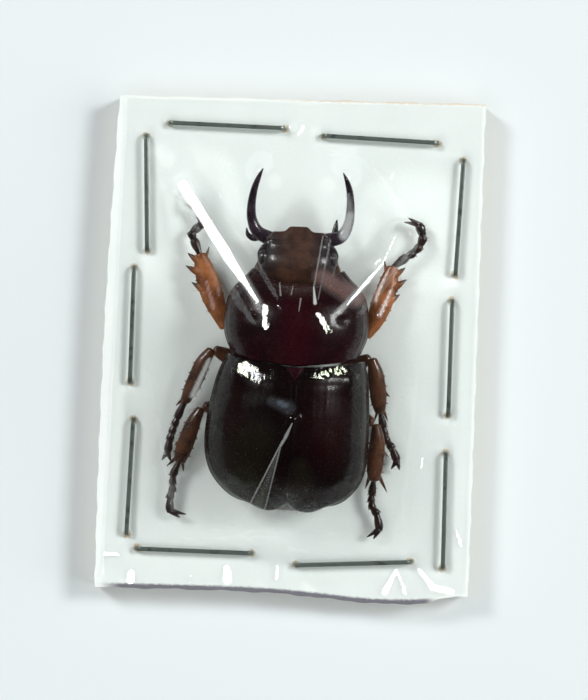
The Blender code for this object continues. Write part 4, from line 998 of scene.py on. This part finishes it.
def awayFromLine(x, y, a, b):
    way = b - a
    share = np.clip(((x - a[0]) * way[0] + (y - a[1]) * way[1]) / (way @ way), 0, 1)
    return np.hypot(x - a[0] - share * way[0], y - a[1] - share * way[1]), share


def onCorners(corners, u, v):
    a, b, c, d = corners
    return [(a[k] * (1 - v) + b[k] * v) * (1 - u) + (d[k] * (1 - v) + c[k] * v) * u for k in (0, 1)]


def cardSag(x):
    return hill(x, card["sagMiddle"], card["sagWidth"]) * np.clip((card["sagEnd"] - x) / 3.0, 0, 1)


def makeCard(spec):
    def plan(u, v):
        x, y = onCorners(spec["corners"], u, v)
        frayX = 0.05 * np.sin(1.3 * y) + 0.03 * np.sin(3.1 * y + 1)
        frayX = frayX - spec["bow"] * np.sin(np.pi * u) * (v < 0.5)
        frayY = 0.05 * np.sin(1.1 * x + 2) + 0.03 * np.sin(2.7 * x)
        low = spec["sag"] * cardSag(x) * u ** 8
        return x + frayX * abs(2 * v - 1) ** 8, y + frayY * abs(2 * u - 1) ** 8 - low

    def top(u, v, x, y):
        z = 0 * x - 0.02 + 0.02 * np.sin(0.35 * x) * np.sin(0.3 * y)
        for spot in staples["places"].values():
            a, b, _ = stapleLine(spot)
            z -= staples["dent"] * np.exp(-(awayFromLine(x, y, a, b)[0] / 0.7) ** 2)
            for end in (a, b):
                z -= staples["hole"] * np.exp(-(((x - end[0]) ** 2 + (y - end[1]) ** 2) / 0.45))
        return z

    def bottom(u, v, x, y):
        z = 0 * x - spec["thick"]
        for spot in staples["places"].values():
            a, b, way = stapleLine(spot)
            for end, inward in ((a, way), (b, -way)):
                away = awayFromLine(x, y, end, end + inward * staples["foot"])[0]
                z += staples["groove"] * np.exp(-(away / 0.55) ** 4)
        return z

    cols, rows = [round(side / spec["cell"]) for side in spec["sides"]]
    points, faces = shellRaw(plan, top, bottom, rows, cols, rim=12, bulge=-0.02)
    inset = np.clip(spec["bevel"] + points[:, 2], 0, spec["bevel"]) * 0.55
    low = np.clip(spec["bevel"] - (points[:, 2] + spec["thick"]), 0, spec["bevel"]) * 0.4
    for axis in (0, 1):
        edge = abs(points[:, axis]) / abs(points[:, axis]).max()
        points[:, axis] -= np.sign(points[:, axis]) * (inset + low) * (edge > 0.93) * (edge - 0.93) / 0.07
    return points, faces


def makePaperMaterial(spec):
    mat, tree, shader = newMaterial("cardBoard")
    place, thick = millimetres(tree), spec["thick"]
    x, y, height = [Field(socket) for socket in addNode(tree, "ShaderNodeSeparateXYZ", {0: place}).outputs]
    fibre = noise(place, 2.2, 6.0, Roughness=0.7)
    cloud = noise(place, 0.16, 3.0)
    plies = noise(millimetres(tree, (0.6, 0.6, 7.0)), 1.0, 5.0)
    wobble = height + (fibre - 0.5) * 0.16
    face = maths("ADD", smoothStep(wobble, thick - 0.26, thick - 0.19), smoothStep(wobble, 0.3, 0.22),
                 clamp=True)
    white = blendColour(smoothStep(cloud, 0.35, 0.7), spec["white"], spec["shade"])
    white = blendColour(smoothStep(fibre, 0.5, 0.8, 0, 0.12), white, spec["fibre"])
    ragged = (fibre - 0.5) * 0.5
    onTop = smoothStep(height, thick - 0.7, thick - 0.4)
    rim = smoothStep(y - x * 0.0102 + ragged, 26.02, 26.2) * smoothStep(x, -4.0, 4.0, 0.1, 0.7)
    white = blendColour(rim * onTop, white, spec["tanRim"])
    dip = maths("EXPONENT", ((x - spec["sagMiddle"]) / spec["sagWidth"]) ** 2.0 * -1.0) * -spec["sag"]
    # A dark ragged strip along the lower edge of the card's top face is painted shadow, the shade under that
    # edge.
    paintedEdgeShadow = smoothStep(y + ragged - x * 0.01 + 26.3 - dip, 0.66, 0.34)
    paintedEdgeShadow = paintedEdgeShadow * smoothStep(x, -20.0, -17.0) * smoothStep(x, 17.0, 15.2, 0.0, 0.92)
    white = blendColour(paintedEdgeShadow * onTop, white, spec["paintedEdgeShadow"])
    core = blendColour(plies, *spec["core"])
    dress(shader, blendColour(face, core, white), smoothStep(fibre, 0.3, 0.7, 0.62, 0.82),
          fibre * face + plies * (2.5 - face * 2.5), 0.03)
    return mat


place(pieceFrom("card_board", makeCard(card), makePaperMaterial(card), 35), "card", "card")
print("card done")


# Staples: a wire bent along its path by a Geometry Nodes tree

def makeWireTree():
    tree, given, result = newTree(
        "bentWire", "GeometryNodeTree",
        {"Geometry": "Geometry", "Width": 0.5 * mm, "Thickness": 0.4 * mm, "Bend": 0.5 * mm,
         "Round": 0.1 * mm, "Steel": "Material"}, {"Geometry": "Geometry"})

    def add(kind, inputs, **settings):
        return fieldOf(tree, kind, inputs, **settings)

    path = add("GeometryNodeMeshToCurve", {"Mesh": given["Geometry"]})
    bent = add("GeometryNodeFilletCurve", {"Curve": path, "Radius": given["Bend"], "Count": 10}, mode="POLY")
    flat = add("GeometryNodeCurvePrimitiveQuadrilateral",
               {"Width": given["Width"], "Height": given["Thickness"]}, mode="RECTANGLE")
    section = add("GeometryNodeFilletCurve", {"Curve": flat, "Radius": given["Round"], "Count": 4},
                  mode="POLY")
    wire = add("GeometryNodeCurveToMesh", {"Curve": bent, "Profile Curve": section, "Fill Caps": True})
    smooth = add("GeometryNodeSetShadeSmooth", {"Geometry": wire, "Shade Smooth": True})
    real = add("GeometryNodeRealizeInstances", {0: smooth})
    connect(add("GeometryNodeSetMaterial", {"Geometry": real, "Material": given["Steel"]}), result.inputs[0])
    return tree


def makeSteelMaterial():
    mat, tree, shader = newMaterial("stapleSteel")
    drawn, spots = noise(millimetres(tree), 5.0, 4.0), noise(millimetres(tree), 0.9, 4.0)
    dress(shader, blendColour(smoothStep(spots, 0.5, 0.72), (0.2, 0.24, 0.22, 1), (0.1, 0.12, 0.105, 1)),
          smoothStep(drawn, 0.3, 0.7, 0.28, 0.42), drawn, 0.003)
    shader.inputs["Metallic"].default_value = 0.7
    return mat


wireTree = makeWireTree()
stapleSteel = makeSteelMaterial()


def makeStaple(name, spot, spec):
    a, b, way = stapleLine(spot)
    foot, high = -card["thick"] + 0.36, spec["crownHeight"]
    path = [(*(a + way * spec["foot"]), foot), (*a, foot), (*a, high), (*b, high), (*b, foot),
            (*(b - way * spec["foot"]), foot)]
    mesh = bpy.data.meshes.new("staple_wire_" + name)
    mesh.from_pydata(((np.array(path) + (0, 0, cardTop)) * mm).tolist(), [(k, k + 1) for k in range(5)], [])
    obj = newObject("staple_wire_" + name, mesh)
    runTree(obj, wireTree, {
        "Width": spec["wire"] * mm, "Thickness": spec["wire"] * mm * 0.88, "Bend": spec["bend"] * mm,
        "Round": 0.12 * mm, "Steel": stapleSteel})
    place(obj, "staple", "staple_" + name)


for name, spot in staples["places"].items():
    makeStaple(name, spot, staples)
print("staples done")


# Film: a clear skin drawn over the beetle, part way between a taut hull and a slack soap skin, with
# pinched ridges

film = {
    "insets": (0.85, 0.3, 0.3), "cells": (168, 224), "thick": 0.05, "rest": 0.16, "clear": 0.07,
    "taut": 0.9, "slackFrom": -2.6, "flap": 0.45, "foldReach": 1.5, "wrinkle": 0.012,
    "sweeps": (1500, 900, 500),
    # x, y, height above the card and rounding radius at each end of a fold
    "folds": (
        ((-12.1, 18.0, 1.25, 9.5), (-2.7, 3.6, 9.1, 7.0)),
        ((-14.4, 21.5, 0.3, 9.0), (-12.1, 18.0, 1.25, 9.5)),
        ((11.2, 11.8, 3.85, 4.5), (5.0, 3.6, 7.9, 4.0)),
        ((6.0, 21.5, 0.4, 1.2), (2.6, 4.6, 8.6, 0.9)),
        ((0.6, -7.6, 10.62, 0.5), (-0.5, -10.4, 10.1, 0.4)),
        ((0.5, -8.0, 9.95, 0.5), (-5.6, -21.0, 0.4, 0.5)),
        ((-0.4, -10.0, 9.9, 0.5), (-2.0, -21.2, 0.4, 0.5)),
        ((-16.9, -8.2, 0.3, 1.5), (-8.4, -7.5, 5.4, 1.2)),
        ((17.4, -8.6, 0.3, 1.5), (9.4, -9.0, 5.4, 1.2)),
        ((14.8, -21.6, 0.3, 2.0), (4.9, -16.0, 5.6, 1.0)))}


def beetleTree():
    graph = bpy.context.evaluated_depsgraph_get()
    points, faces = [], []
    for obj in bpy.context.scene.objects:
        if obj.type != "MESH" or obj.hide_render or obj.name.startswith(("card", "staple", "film")):
            continue
        mesh = obj.evaluated_get(graph).to_mesh()
        start = len(points)
        points += [v.co.copy() for v in mesh.vertices]
        faces += [[i + start for i in p.vertices] for p in mesh.polygons]
    return BVHTree.FromPolygons(points, faces)


def dropOn(tree, x, y, start, missed):
    # height at which a ray dropped at each point of the grid meets the tree's faces
    heights = np.full(x.shape, missed)
    for spot in np.ndindex(x.shape):
        hit = tree.ray_cast(Vector((x[spot], y[spot], start)), Vector((0, 0, -1)))[0]
        if hit is not None:
            heights[spot] = hit.z
    return heights


def filmFloor(x, y):
    flat = dropOn(beetleTree(), x * mm, y * mm, 0.05, (cardTop - 1.0) * mm) / mm - cardTop
    wide = np.pad(flat, 1, mode="edge")
    for di, dj in np.ndindex(3, 3):
        flat = np.maximum(flat, wide[di:di + x.shape[0], dj:dj + x.shape[1]])
    return flat


def drawTight(z, floor, held, rest, sweeps):
    for _ in range(sweeps):
        near = np.pad(z, 1, mode="edge")
        mean = (near[:-2, 1:-1] + near[2:, 1:-1] + near[1:-1, :-2] + near[1:-1, 2:]) / 4
        z = np.where(held, rest, np.maximum(floor, mean))
    return z


def finerGrid(low, shape):
    for size in reversed(shape):
        steps = np.linspace(0, low.shape[1] - 1, size)
        low = np.array([np.interp(steps, np.arange(low.shape[1]), row) for row in low]).T
    return low


def tautHull(x, y, floor, held, spec):
    bm = bmesh.new()
    standing = (floor > 0.8) & (abs(x - foreMiddle) < 15)
    for chosen, height in ((held, np.full(x.shape, spec["rest"])), (standing, floor)):
        for point in zip(x[chosen], y[chosen], height[chosen]):
            bm.verts.new(point)
    bmesh.ops.convex_hull(bm, input=bm.verts[:])
    tree = BVHTree.FromBMesh(bm)
    bm.free()
    return np.maximum(dropOn(tree, x, y, 50, spec["rest"]), floor)


def drawFilm(spec):
    cols, rows = spec["cells"]
    u, v = np.meshgrid(np.linspace(1, 0, rows + 1), np.linspace(0, 1, cols + 1), indexing="ij")
    left, right, ends = spec["insets"]
    corners = [(x + (left if x < 0 else -right), y - math.copysign(ends, y)) for x, y in card["corners"]]
    x, y = onCorners(corners, u, v)
    y = y - card["sag"] * cardSag(x) * u ** 8
    body = filmFloor(x, y)
    floor = np.maximum(body + spec["clear"], spec["rest"] * 0.5)
    held = np.zeros(x.shape, bool)
    for spot in staples["places"].values():
        held |= awayFromLine(x, y, *stapleLine(spot)[:2])[0] < 0.3
    slack = floor[::4, ::4]
    for level, sweeps in zip((4, 2, 1), spec["sweeps"]):
        part = (slice(None, None, level), slice(None, None, level))
        slack = drawTight(finerGrid(slack, floor[part].shape), floor[part], held[part], spec["rest"], sweeps)
    hull = tautHull(x, y, floor, held, spec)
    taut = spec["taut"] * np.clip((spec["slackFrom"] - y) / 4.0, 0, 1)
    z = hull * taut + slack * (1 - taut)
    for (ax, ay, ah, ar), (bx, by, bh, br) in spec["folds"]:
        away, share = awayFromLine(x, y, np.array((ax, ay)), np.array((bx, by)))
        ridge = ah + (bh - ah) * share - away ** 2 / (2 * (ar + (br - ar) * share))
        z = np.where(away < spec["foldReach"], np.maximum(z, ridge), z)
    z = drawTight(z, np.maximum(floor, z - 0.02), held, spec["rest"], 6)
    outside = np.clip((abs(y) - 23.6) / 2.0, 0, 1) ** 1.5 * np.where(y < 0, 1.0, 0.35)
    z = z + outside * spec["flap"] * (0.5 + 0.5 * np.sin(0.9 * x + 1.2 * np.sin(0.37 * x + y)))
    return x, y, z, body


marks = {
    # thin pinches and glints, drawn as white haze that also paints their highlights; the glints are painted
    # highlights only: from, to, half width at each end, how white
    "stem": ((0.52, -8.0), (-0.05, -9.3), 0.06, 0.2, 0.13),
    "stem_foot": ((-0.05, -9.3), (-0.55, -10.4), 0.2, 0.08, 0.13),
    "left_pleat": ((-0.4, -9.8), (-4.1, -17.8), 0.08, 0.11, 0.13),
    "right_pleat": ((-0.5, -10.0), (-2.1, -17.6), 0.09, 0.1, 0.09),
    "head_fold": ((2.75, 4.9), (3.85, 11.2), 0.07, 0.1, 0.06),
    "brow_fold": ((2.25, 6.0), (3.05, 11.6), 0.1, 0.07, 0.1),
    "brow_glint": ((2.45, 4.5), (2.25, 6.2), 0.2, 0.07, 0.34),
    "mid_glint": ((-1.3, 6.5), (-1.15, 5.2), 0.06, 0.11, 0.1),
    "neck_glint": ((0.1, 6.2), (-0.05, 5.3), 0.05, 0.09, 0.08),
    "breast_glint": ((0.95, 4.9), (0.8, 3.6), 0.1, 0.05, 0.1)}
patches = {
    # broad ones, kept on the film's points: from, to, half width at each end, amount
    "glare": (((-11.9, 16.6), (-6.8, 9.1), 0.74, 0.76, 1.0), ((-6.8, 9.1), (-3.5, 4.4), 0.76, 0.26, 1.0),
        ((10.7, 12.0), (9.4, 8.9), 0.12, 0.14, 1.0), ((9.4, 8.9), (7.5, 6.6), 0.14, 0.3, 1.0),
        ((7.5, 6.6), (5.7, 4.35), 0.3, 0.17, 1.0), ((-4.6, -2.5), (-3.0, -3.5), 1.25, 1.1, 0.74),
        ((2.6, -3.1), (5.6, -2.4), 0.7, 0.9, 0.74), ((-2.75, 3.9), (-2.6, 1.9), 0.55, 0.7, 0.8),
        ((2.8, 3.3), (4.0, 1.7), 0.7, 0.8, 0.76), ((-19.4, -22.9), (-17.6, -22.9), 0.5, 0.4, 0.8),
        ((-16.1, -24.9), (-16.1, -25.6), 0.6, 0.6, 1.0), ((-5.9, -23.9), (-5.8, -25.1), 0.45, 0.75, 1.0),
        ((-0.5, -23.4), (-0.6, -24.8), 0.4, 0.4, 0.75), ((12.2, -23.4), (11.0, -25.9), 0.2, 0.5, 1.0),
        ((12.2, -23.4), (13.2, -25.9), 0.2, 0.4, 0.9), ((14.6, -23.4), (16.2, -25.2), 0.4, 0.55, 0.9),
        ((16.2, -25.2), (18.2, -25.6), 0.55, 0.45, 1.0), ((-1.8, 21.2), (-2.2, 19.9), 0.16, 0.1, 0.8),
        ((0.6, 21.8), (1.0, 20.8), 0.14, 0.1, 0.8), ((-7.2, 19.5), (-6.7, 18.2), 0.1, 0.12, 0.75),
        ((10.6, 19.3), (10.0, 18.0), 0.1, 0.16, 0.8), ((12.4, 20.6), (11.8, 19.7), 0.1, 0.12, 0.75),
        ((3.0, -23.8), (3.2, -25.4), 0.12, 0.16, 0.75), ((6.5, -24.0), (6.3, -25.5), 0.14, 0.1, 0.75),
        ((-9.7, -24.6), (-9.9, -25.7), 0.18, 0.22, 0.8), ((17.0, 5.5), (16.9, 4.2), 0.12, 0.1, 0.75),
        ((14.5, -11.3), (14.3, -12.6), 0.16, 0.12, 1.0), ((0.2, 22.4), (0.6, 23.4), 0.4, 0.3, 0.8),
        ((19.0, -20.6), (18.4, -19.0), 0.4, 0.3, 0.8)),
    # white: whitened folds and the pleat's fill, with painted highlights along both glare streaks, on the
    # right fore shin and on the pale glare strip left of the wing cases
    "white": (((10.35, 6.1), (9.3, 3.5), 0.06, 0.1, 0.24), ((-8.4, 20.6), (-6.4, 13.6), 0.1, 0.45, 0.05),
        ((7.6, 20.0), (10.9, 15.4), 0.1, 0.5, 0.06), ((-15.0, -3.0), (-11.6, -17.5), 0.3, 0.5, 0.05),
        ((13.4, -3.5), (12.4, -19.0), 0.4, 0.3, 0.05), ((-11.7, 16.5), (-3.5, 4.4), 0.8, 0.46, 0.13),
        ((9.4, 8.9), (7.5, 6.6), 0.2, 0.4, 0.1), ((7.5, 6.6), (4.86, 3.6), 0.4, 0.32, 0.14),
        ((5.3, 11.8), (5.8, 13.9), 0.62, 0.52, 0.18), ((5.8, 13.9), (5.5, 16.0), 0.52, 0.3, 0.08),
        ((-12.4, 15.5), (-10.7, 13.4), 0.42, 0.55, 0.3), ((-8.4, -1.8), (-10.0, -5.6), 0.24, 0.34, 0.22),
        ((-0.9, -11.2), (-2.9, -17.2), 0.1, 0.72, 0.034)),
    # painted reflection: an olive sheen of the film over the wing cases
    "paintedOliveSheen": (((-3.6, -10.0), (-4.2, -12.4), 2.8, 3.2, 0.0045),
        ((-4.4, -14.2), (-3.0, -16.2), 2.4, 1.8, 0.0085), ((1.5, -12.6), (1.9, -15.4), 1.1, 1.6, 0.0045)),
    # painted reflection: a bluish-white glint on the film over the wing cases, by their seam
    "paintedBlueGlint": (((-1.7, -5.8), (0.1, -6.4), 0.5, 0.75, 0.018), ((-0.9, -5.9), (-0.2, -6.2), 0.34, 0.34, 0.06)),
    # brown: a brownish veil over the pronotum's right front, and painted warm highlights on the film over
    # both fore shins
    "brown": (((3.0, 7.3), (6.6, 5.3), 0.9, 1.2, 0.085), ((10.35, 6.1), (9.3, 3.5), 0.14, 0.22, 0.3),
        ((-9.0, 6.4), (-8.15, 3.7), 0.12, 0.2, 0.24)),
    "crumple": (((-4.8, -2.8), (-2.9, -3.3), 2.0, 2.0, 0.5), ((2.6, -2.9), (5.5, -2.1), 1.1, 1.2, 0.5),
        ((4.5, 3.2), (4.3, 1.4), 1.5, 1.5, 0.4), ((-2.6, 4.0), (-2.5, 2.6), 1.2, 1.2, 0.3),
        ((-17.0, -25.2), (17.0, -25.2), 1.2, 1.2, 0.3), ((-0.4, 22.8), (1.4, 22.8), 1.2, 1.2, 0.3))}
filmLook = {
    # the veil's amount and tint also carry the painted highlights, glints and sheens
    "veilAndPaintedLightAmount": 0.0006, "veilAndPaintedLightTint": (0.93, 0.97, 0.96, 1), "clearTint": (0.995, 1.0, 0.997, 1),
    "mirror": 0.035, "edgeMirror": 0.5, "rainbow": ((0.86, 0.8, 1.0, 1), (0.84, 1.0, 0.66, 1)),
    # amount at which a patch has its full tint, and the tint
    "tints": {"paintedOliveSheen": (0.003, (0.52, 0.58, 0.34, 1)), "paintedBlueGlint": (0.02, (0.6, 0.72, 0.84, 1)),
              "brown": (0.04, (0.66, 0.42, 0.38, 1))}}
lamps = {
    # where, size, power, whether the gloss shows it
    "right_window": ((0.88, 0.415, 0.815), 0.33, 8.6, True),
    "left_window": ((-0.8, 0.585, 0.83), 0.31, 7.2, True),
    "side_fill": ((1.27, -0.12, 0.6), 1.0, 10.2, False),
    "sky_fill": ((-0.58, -0.38, 1.65), 2.0, 16.2, False)}
camera = {"lens": 144.6, "sensor": 36.0, "over": (0.44, -0.44, 303.2), "turn": 2.05}


def makeMarkGroup():
    tree, given, result = newTree(
        "pinchMark", "ShaderNodeTree",
        {"Place": (0, 0, 0), "From": (0, 0, 0), "To": (1, 0, 0), "From Width": 0.2, "To Width": 0.2},
        {"Mask": "Float"})
    way = vectorMaths("SUBTRACT", given["To"], given["From"])
    toPlace = vectorMaths("SUBTRACT", given["Place"], given["From"])
    share = maths("DIVIDE", vectorMaths("DOT_PRODUCT", toPlace, way, 1),
                  vectorMaths("DOT_PRODUCT", way, way, 1), clamp=True)
    along = fieldOf(tree, "ShaderNodeVectorMath", {0: way, "Scale": share}, operation="SCALE")
    away = vectorMaths("LENGTH", vectorMaths("SUBTRACT", toPlace, along), output=1)
    width = share * (given["To Width"] - given["From Width"]) + given["From Width"]
    connect(smoothStep(away / width, 0.35, 1.3, 1.0, 0.0), result.inputs["Mask"])
    return tree


def makeFilmMaterial(spec):
    mat, tree, gloss = newMaterial("clearFilm")
    markGroup = makeMarkGroup()

    def kept(name, output="Fac"):
        return fieldOf(tree, "ShaderNodeAttribute", None, output, attribute_name=name)

    place = millimetres(tree)
    long = noise(place, 0.45, Distortion=0.6)
    fine = noise(millimetres(tree, (1.0, 0.45, 1.0)), 1.4)
    creases = noise(millimetres(tree, (1.0, 0.4, 1.0)), 2.4, 2.5, Distortion=1.0)
    onPlan = vectorMaths("MULTIPLY", place, (1, 1, 0))
    white, crumple = kept("white"), kept("crumple")
    # Each mark whitens the film along a thin line: whitened pinches with painted highlights on them, and
    # painted glints.
    for a, b, wideA, wideB, amount in marks.values():
        mark = fieldOf(tree, "ShaderNodeGroup", {
            "Place": onPlan, "From": (*a, 0), "To": (*b, 0), "From Width": wideA, "To Width": wideB},
            node_tree=markGroup)
        white = maths("MAXIMUM", white, mark * amount)
    waves = (long * 0.09 + fine * 0.02) * kept("loose") + creases * 0.12 * crumple
    bumps = fieldOf(tree, "ShaderNodeBump", {"Height": waves, "Distance": 1.0 * mm})
    glare = smoothStep(kept("glare") * 2.2 - 1.1 + (creases - 0.5) * 5.0 * crumple, 0.0, 0.7)
    facet = kept("facet", "Vector")
    bumps = fieldOf(tree, "ShaderNodeMix", {0: glare, 4: bumps, 5: facet}, 1, data_type="VECTOR")
    rainbow = blendColour(smoothStep(creases, 0.44, 0.56), *spec["rainbow"])
    rainbow = blendColour(smoothStep(crumple, 0.0, 0.5, 0.0, 0.8), (1, 1, 1, 1), rainbow)
    gloss.inputs["Metallic"].default_value = 1.0
    dress(gloss, rainbow, smoothStep(fine, 0.3, 0.75, 0.07, 0.14))
    connect(bumps, gloss.inputs["Normal"])
    # The diffuse layer mixed in below is the film's faint veil and whitened folds, and also painted light:
    # the highlights, glints and sheens that the patch layers and marks draw.
    tint, veilAndPaintedLightAmount = spec["veilAndPaintedLightTint"], white
    for name, (full, tone) in spec["tints"].items():
        share = maths("SUBTRACT", smoothStep(kept(name), 0.0, full), white * 12.0, clamp=True)
        tint = blendColour(share, tint, tone)
        veilAndPaintedLightAmount = maths("MAXIMUM", veilAndPaintedLightAmount, kept(name))
    veilAndPaintedLightShader = addNode(tree, "ShaderNodeBsdfPrincipled", {"Base Color": tint, "Roughness": 0.4})
    clear = addNode(tree, "ShaderNodeBsdfTransparent", {"Color": spec["clearTint"]})
    veilAndPaintedLightAmount = veilAndPaintedLightAmount + spec["veilAndPaintedLightAmount"]
    body = addNode(tree, "ShaderNodeMixShader", {0: veilAndPaintedLightAmount, 1: clear.outputs[0], 2: veilAndPaintedLightShader.outputs[0]})
    edgeOn = fieldOf(tree, "ShaderNodeLayerWeight", {"Blend": 0.5, "Normal": bumps}, "Facing")
    mirror = (edgeOn ** 5.0 * spec["edgeMirror"] + spec["mirror"]) * (1.0 - kept("dull") * (1.0 - glare))
    mirror = mirror * (1.0 - fieldOf(tree, "ShaderNodeLightPath", None, "Is Diffuse Ray"))
    shine = addNode(tree, "ShaderNodeMixShader", {0: mirror, 1: body.outputs[0], 2: gloss.outputs[0]})
    connect(shine.outputs[0], tree.nodes["Material Output"].inputs["Surface"])
    return mat


def patchLayers(x, y):
    layers = {"loose": 1 + 0 * x}
    ragged = 0.04 * np.sin(2.3 * x + 1.1 * y) * np.sin(1.7 * y - 0.9 * x)
    for name, lines in patches.items():
        layers[name] = 0 * x
        for a, b, wideA, wideB, amount in lines:
            away, share = awayFromLine(x, y, np.array(a), np.array(b))
            away = away / (wideA + (wideB - wideA) * share)
            t = np.clip((1.25 - away - ragged) / 0.9, 0, 1)
            layers[name] = np.maximum(layers[name], amount * t * t * (3 - 2 * t))
            if name == "white":
                layers["loose"] = np.minimum(layers["loose"], np.clip((away - 1.6) / 1.6, 0.07, 1))
    return layers


def windowLayers(x, y, z):
    # facets that catch the left window, the last of the two, and a mask that dulls what mirrors either
    points = np.stack((x, y, z + cardTop), -1)
    facing = np.cross(np.gradient(points, axis=1), np.gradient(points, axis=0))
    facing *= np.sign(facing[..., 2:]) / np.linalg.norm(facing, axis=-1, keepdims=True)
    toEye = unit(np.array(camera["over"]) - points)
    dull = 0 * x
    for name in ("right_window", "left_window"):
        facet = unit(unit(np.array(lamps[name][0]) / mm - points) + toEye)
        off = np.arccos(np.clip((facet * facing).sum(-1), -1, 1))
        dull = np.maximum(dull, np.clip((0.26 - off) / 0.1, 0, 1))
    return {"facet": facet, "dull": dull}


def makeFilm(spec):
    x, y, z, body = drawFilm(spec)
    touching = np.exp(-np.maximum(0, z - body - spec["clear"]) / 0.12) * (body > 0)
    z = z + spec["wrinkle"] * touching * (np.sin(5.1 * x + 1.9 * y) * np.sin(4.3 * y - 2.1 * x))
    raw = np.stack((x, y, z), -1).reshape(-1, 3), gridFaces(np.arange(x.size).reshape(x.shape))
    obj = pieceFrom("film_cover", raw, makeFilmMaterial(filmLook), 180)
    if obj.data.polygons[0].normal.z < 0:
        obj.data.flip_normals()
    for name, values in {**patchLayers(x, y), **windowLayers(x, y, z)}.items():
        kind, field = ("FLOAT", "value") if values.ndim == 2 else ("FLOAT_VECTOR", "vector")
        layer = obj.data.attributes.new(name, kind, "POINT")
        layer.data.foreach_set(field, values.ravel().astype(np.float32))
    skin = obj.modifiers.new("skin", "SOLIDIFY")
    skin.thickness = spec["thick"] * mm
    skin.offset = 1
    settle(obj)
    place(obj, "film", "film")
    wide = np.hypot(np.diff(x, axis=1), np.diff(z, axis=1)).sum(1).mean()
    long = np.hypot(np.diff(y, axis=0), np.diff(z, axis=0)).sum(0).mean()
    print("film cut", round(wide, 1), "x", round(long, 1), "mm")


makeFilm(film)
print("film done")


# Stage

stage = {"floor": 3.0, "colour": (0.73, 0.79, 0.803, 1), "shade": 0.985, "backdrop": (0.8, 0.87, 0.89, 1),
         "roomLow": (0.056, 0.047, 0.042, 1), "roomHigh": (0.003, 0.0034, 0.004, 1)}


def makeFloor(spec):
    mat, tree, shader = newMaterial("paleFloor")
    worn = (*[c * spec["shade"] for c in spec["colour"][:3]], 1)
    dress(shader, blendColour(noise(millimetres(tree), 0.02), worn, spec["colour"]), 0.9)
    bpy.ops.mesh.primitive_plane_add(size=spec["floor"], location=(0, 0, 0))
    floor = bpy.context.object
    floor.name = "floor"
    floor.data.materials.append(mat)


def makeLamp(name, where, size, power, seen):
    data = bpy.data.lights.new(name, "AREA")
    data.size = size
    data.energy = power
    lamp = newObject(name, data)
    lamp.location = where
    lamp.rotation_mode = "QUATERNION"
    lamp.rotation_quaternion = (-Vector(where)).to_track_quat("-Z", "Y")
    lamp.visible_glossy = seen


def makeWorld(spec):
    world = bpy.data.worlds.new("paleRoom")
    bpy.context.scene.world = world
    world.use_nodes = True
    tree = world.node_tree
    way = fieldOf(tree, "ShaderNodeTexCoord", output="Generated")
    upward = fieldOf(tree, "ShaderNodeSeparateXYZ", {0: way}, 2)
    room = blendColour(smoothStep(upward, 0.0, 0.8), spec["roomLow"], spec["roomHigh"])
    seen = fieldOf(tree, "ShaderNodeLightPath", output="Is Camera Ray")
    connect(blendColour(seen, room, spec["backdrop"]), tree.nodes["Background"].inputs["Color"])


def makeCamera(spec):
    data = bpy.data.cameras.new("overhead")
    data.lens, data.sensor_width = spec["lens"], spec["sensor"]
    data.clip_start = 0.01
    shot = newObject("overhead", data)
    shot.location = [c * mm for c in spec["over"]]
    shot.rotation_euler = (0, 0, math.radians(spec["turn"]))
    bpy.context.scene.camera = shot


makeFloor(stage)
for name, values in lamps.items():
    makeLamp(name, *values)
makeWorld(stage)
makeCamera(camera)
bpy.context.scene.view_settings.view_transform = "Standard"
print("stage done")

bpy.context.view_layer.update()
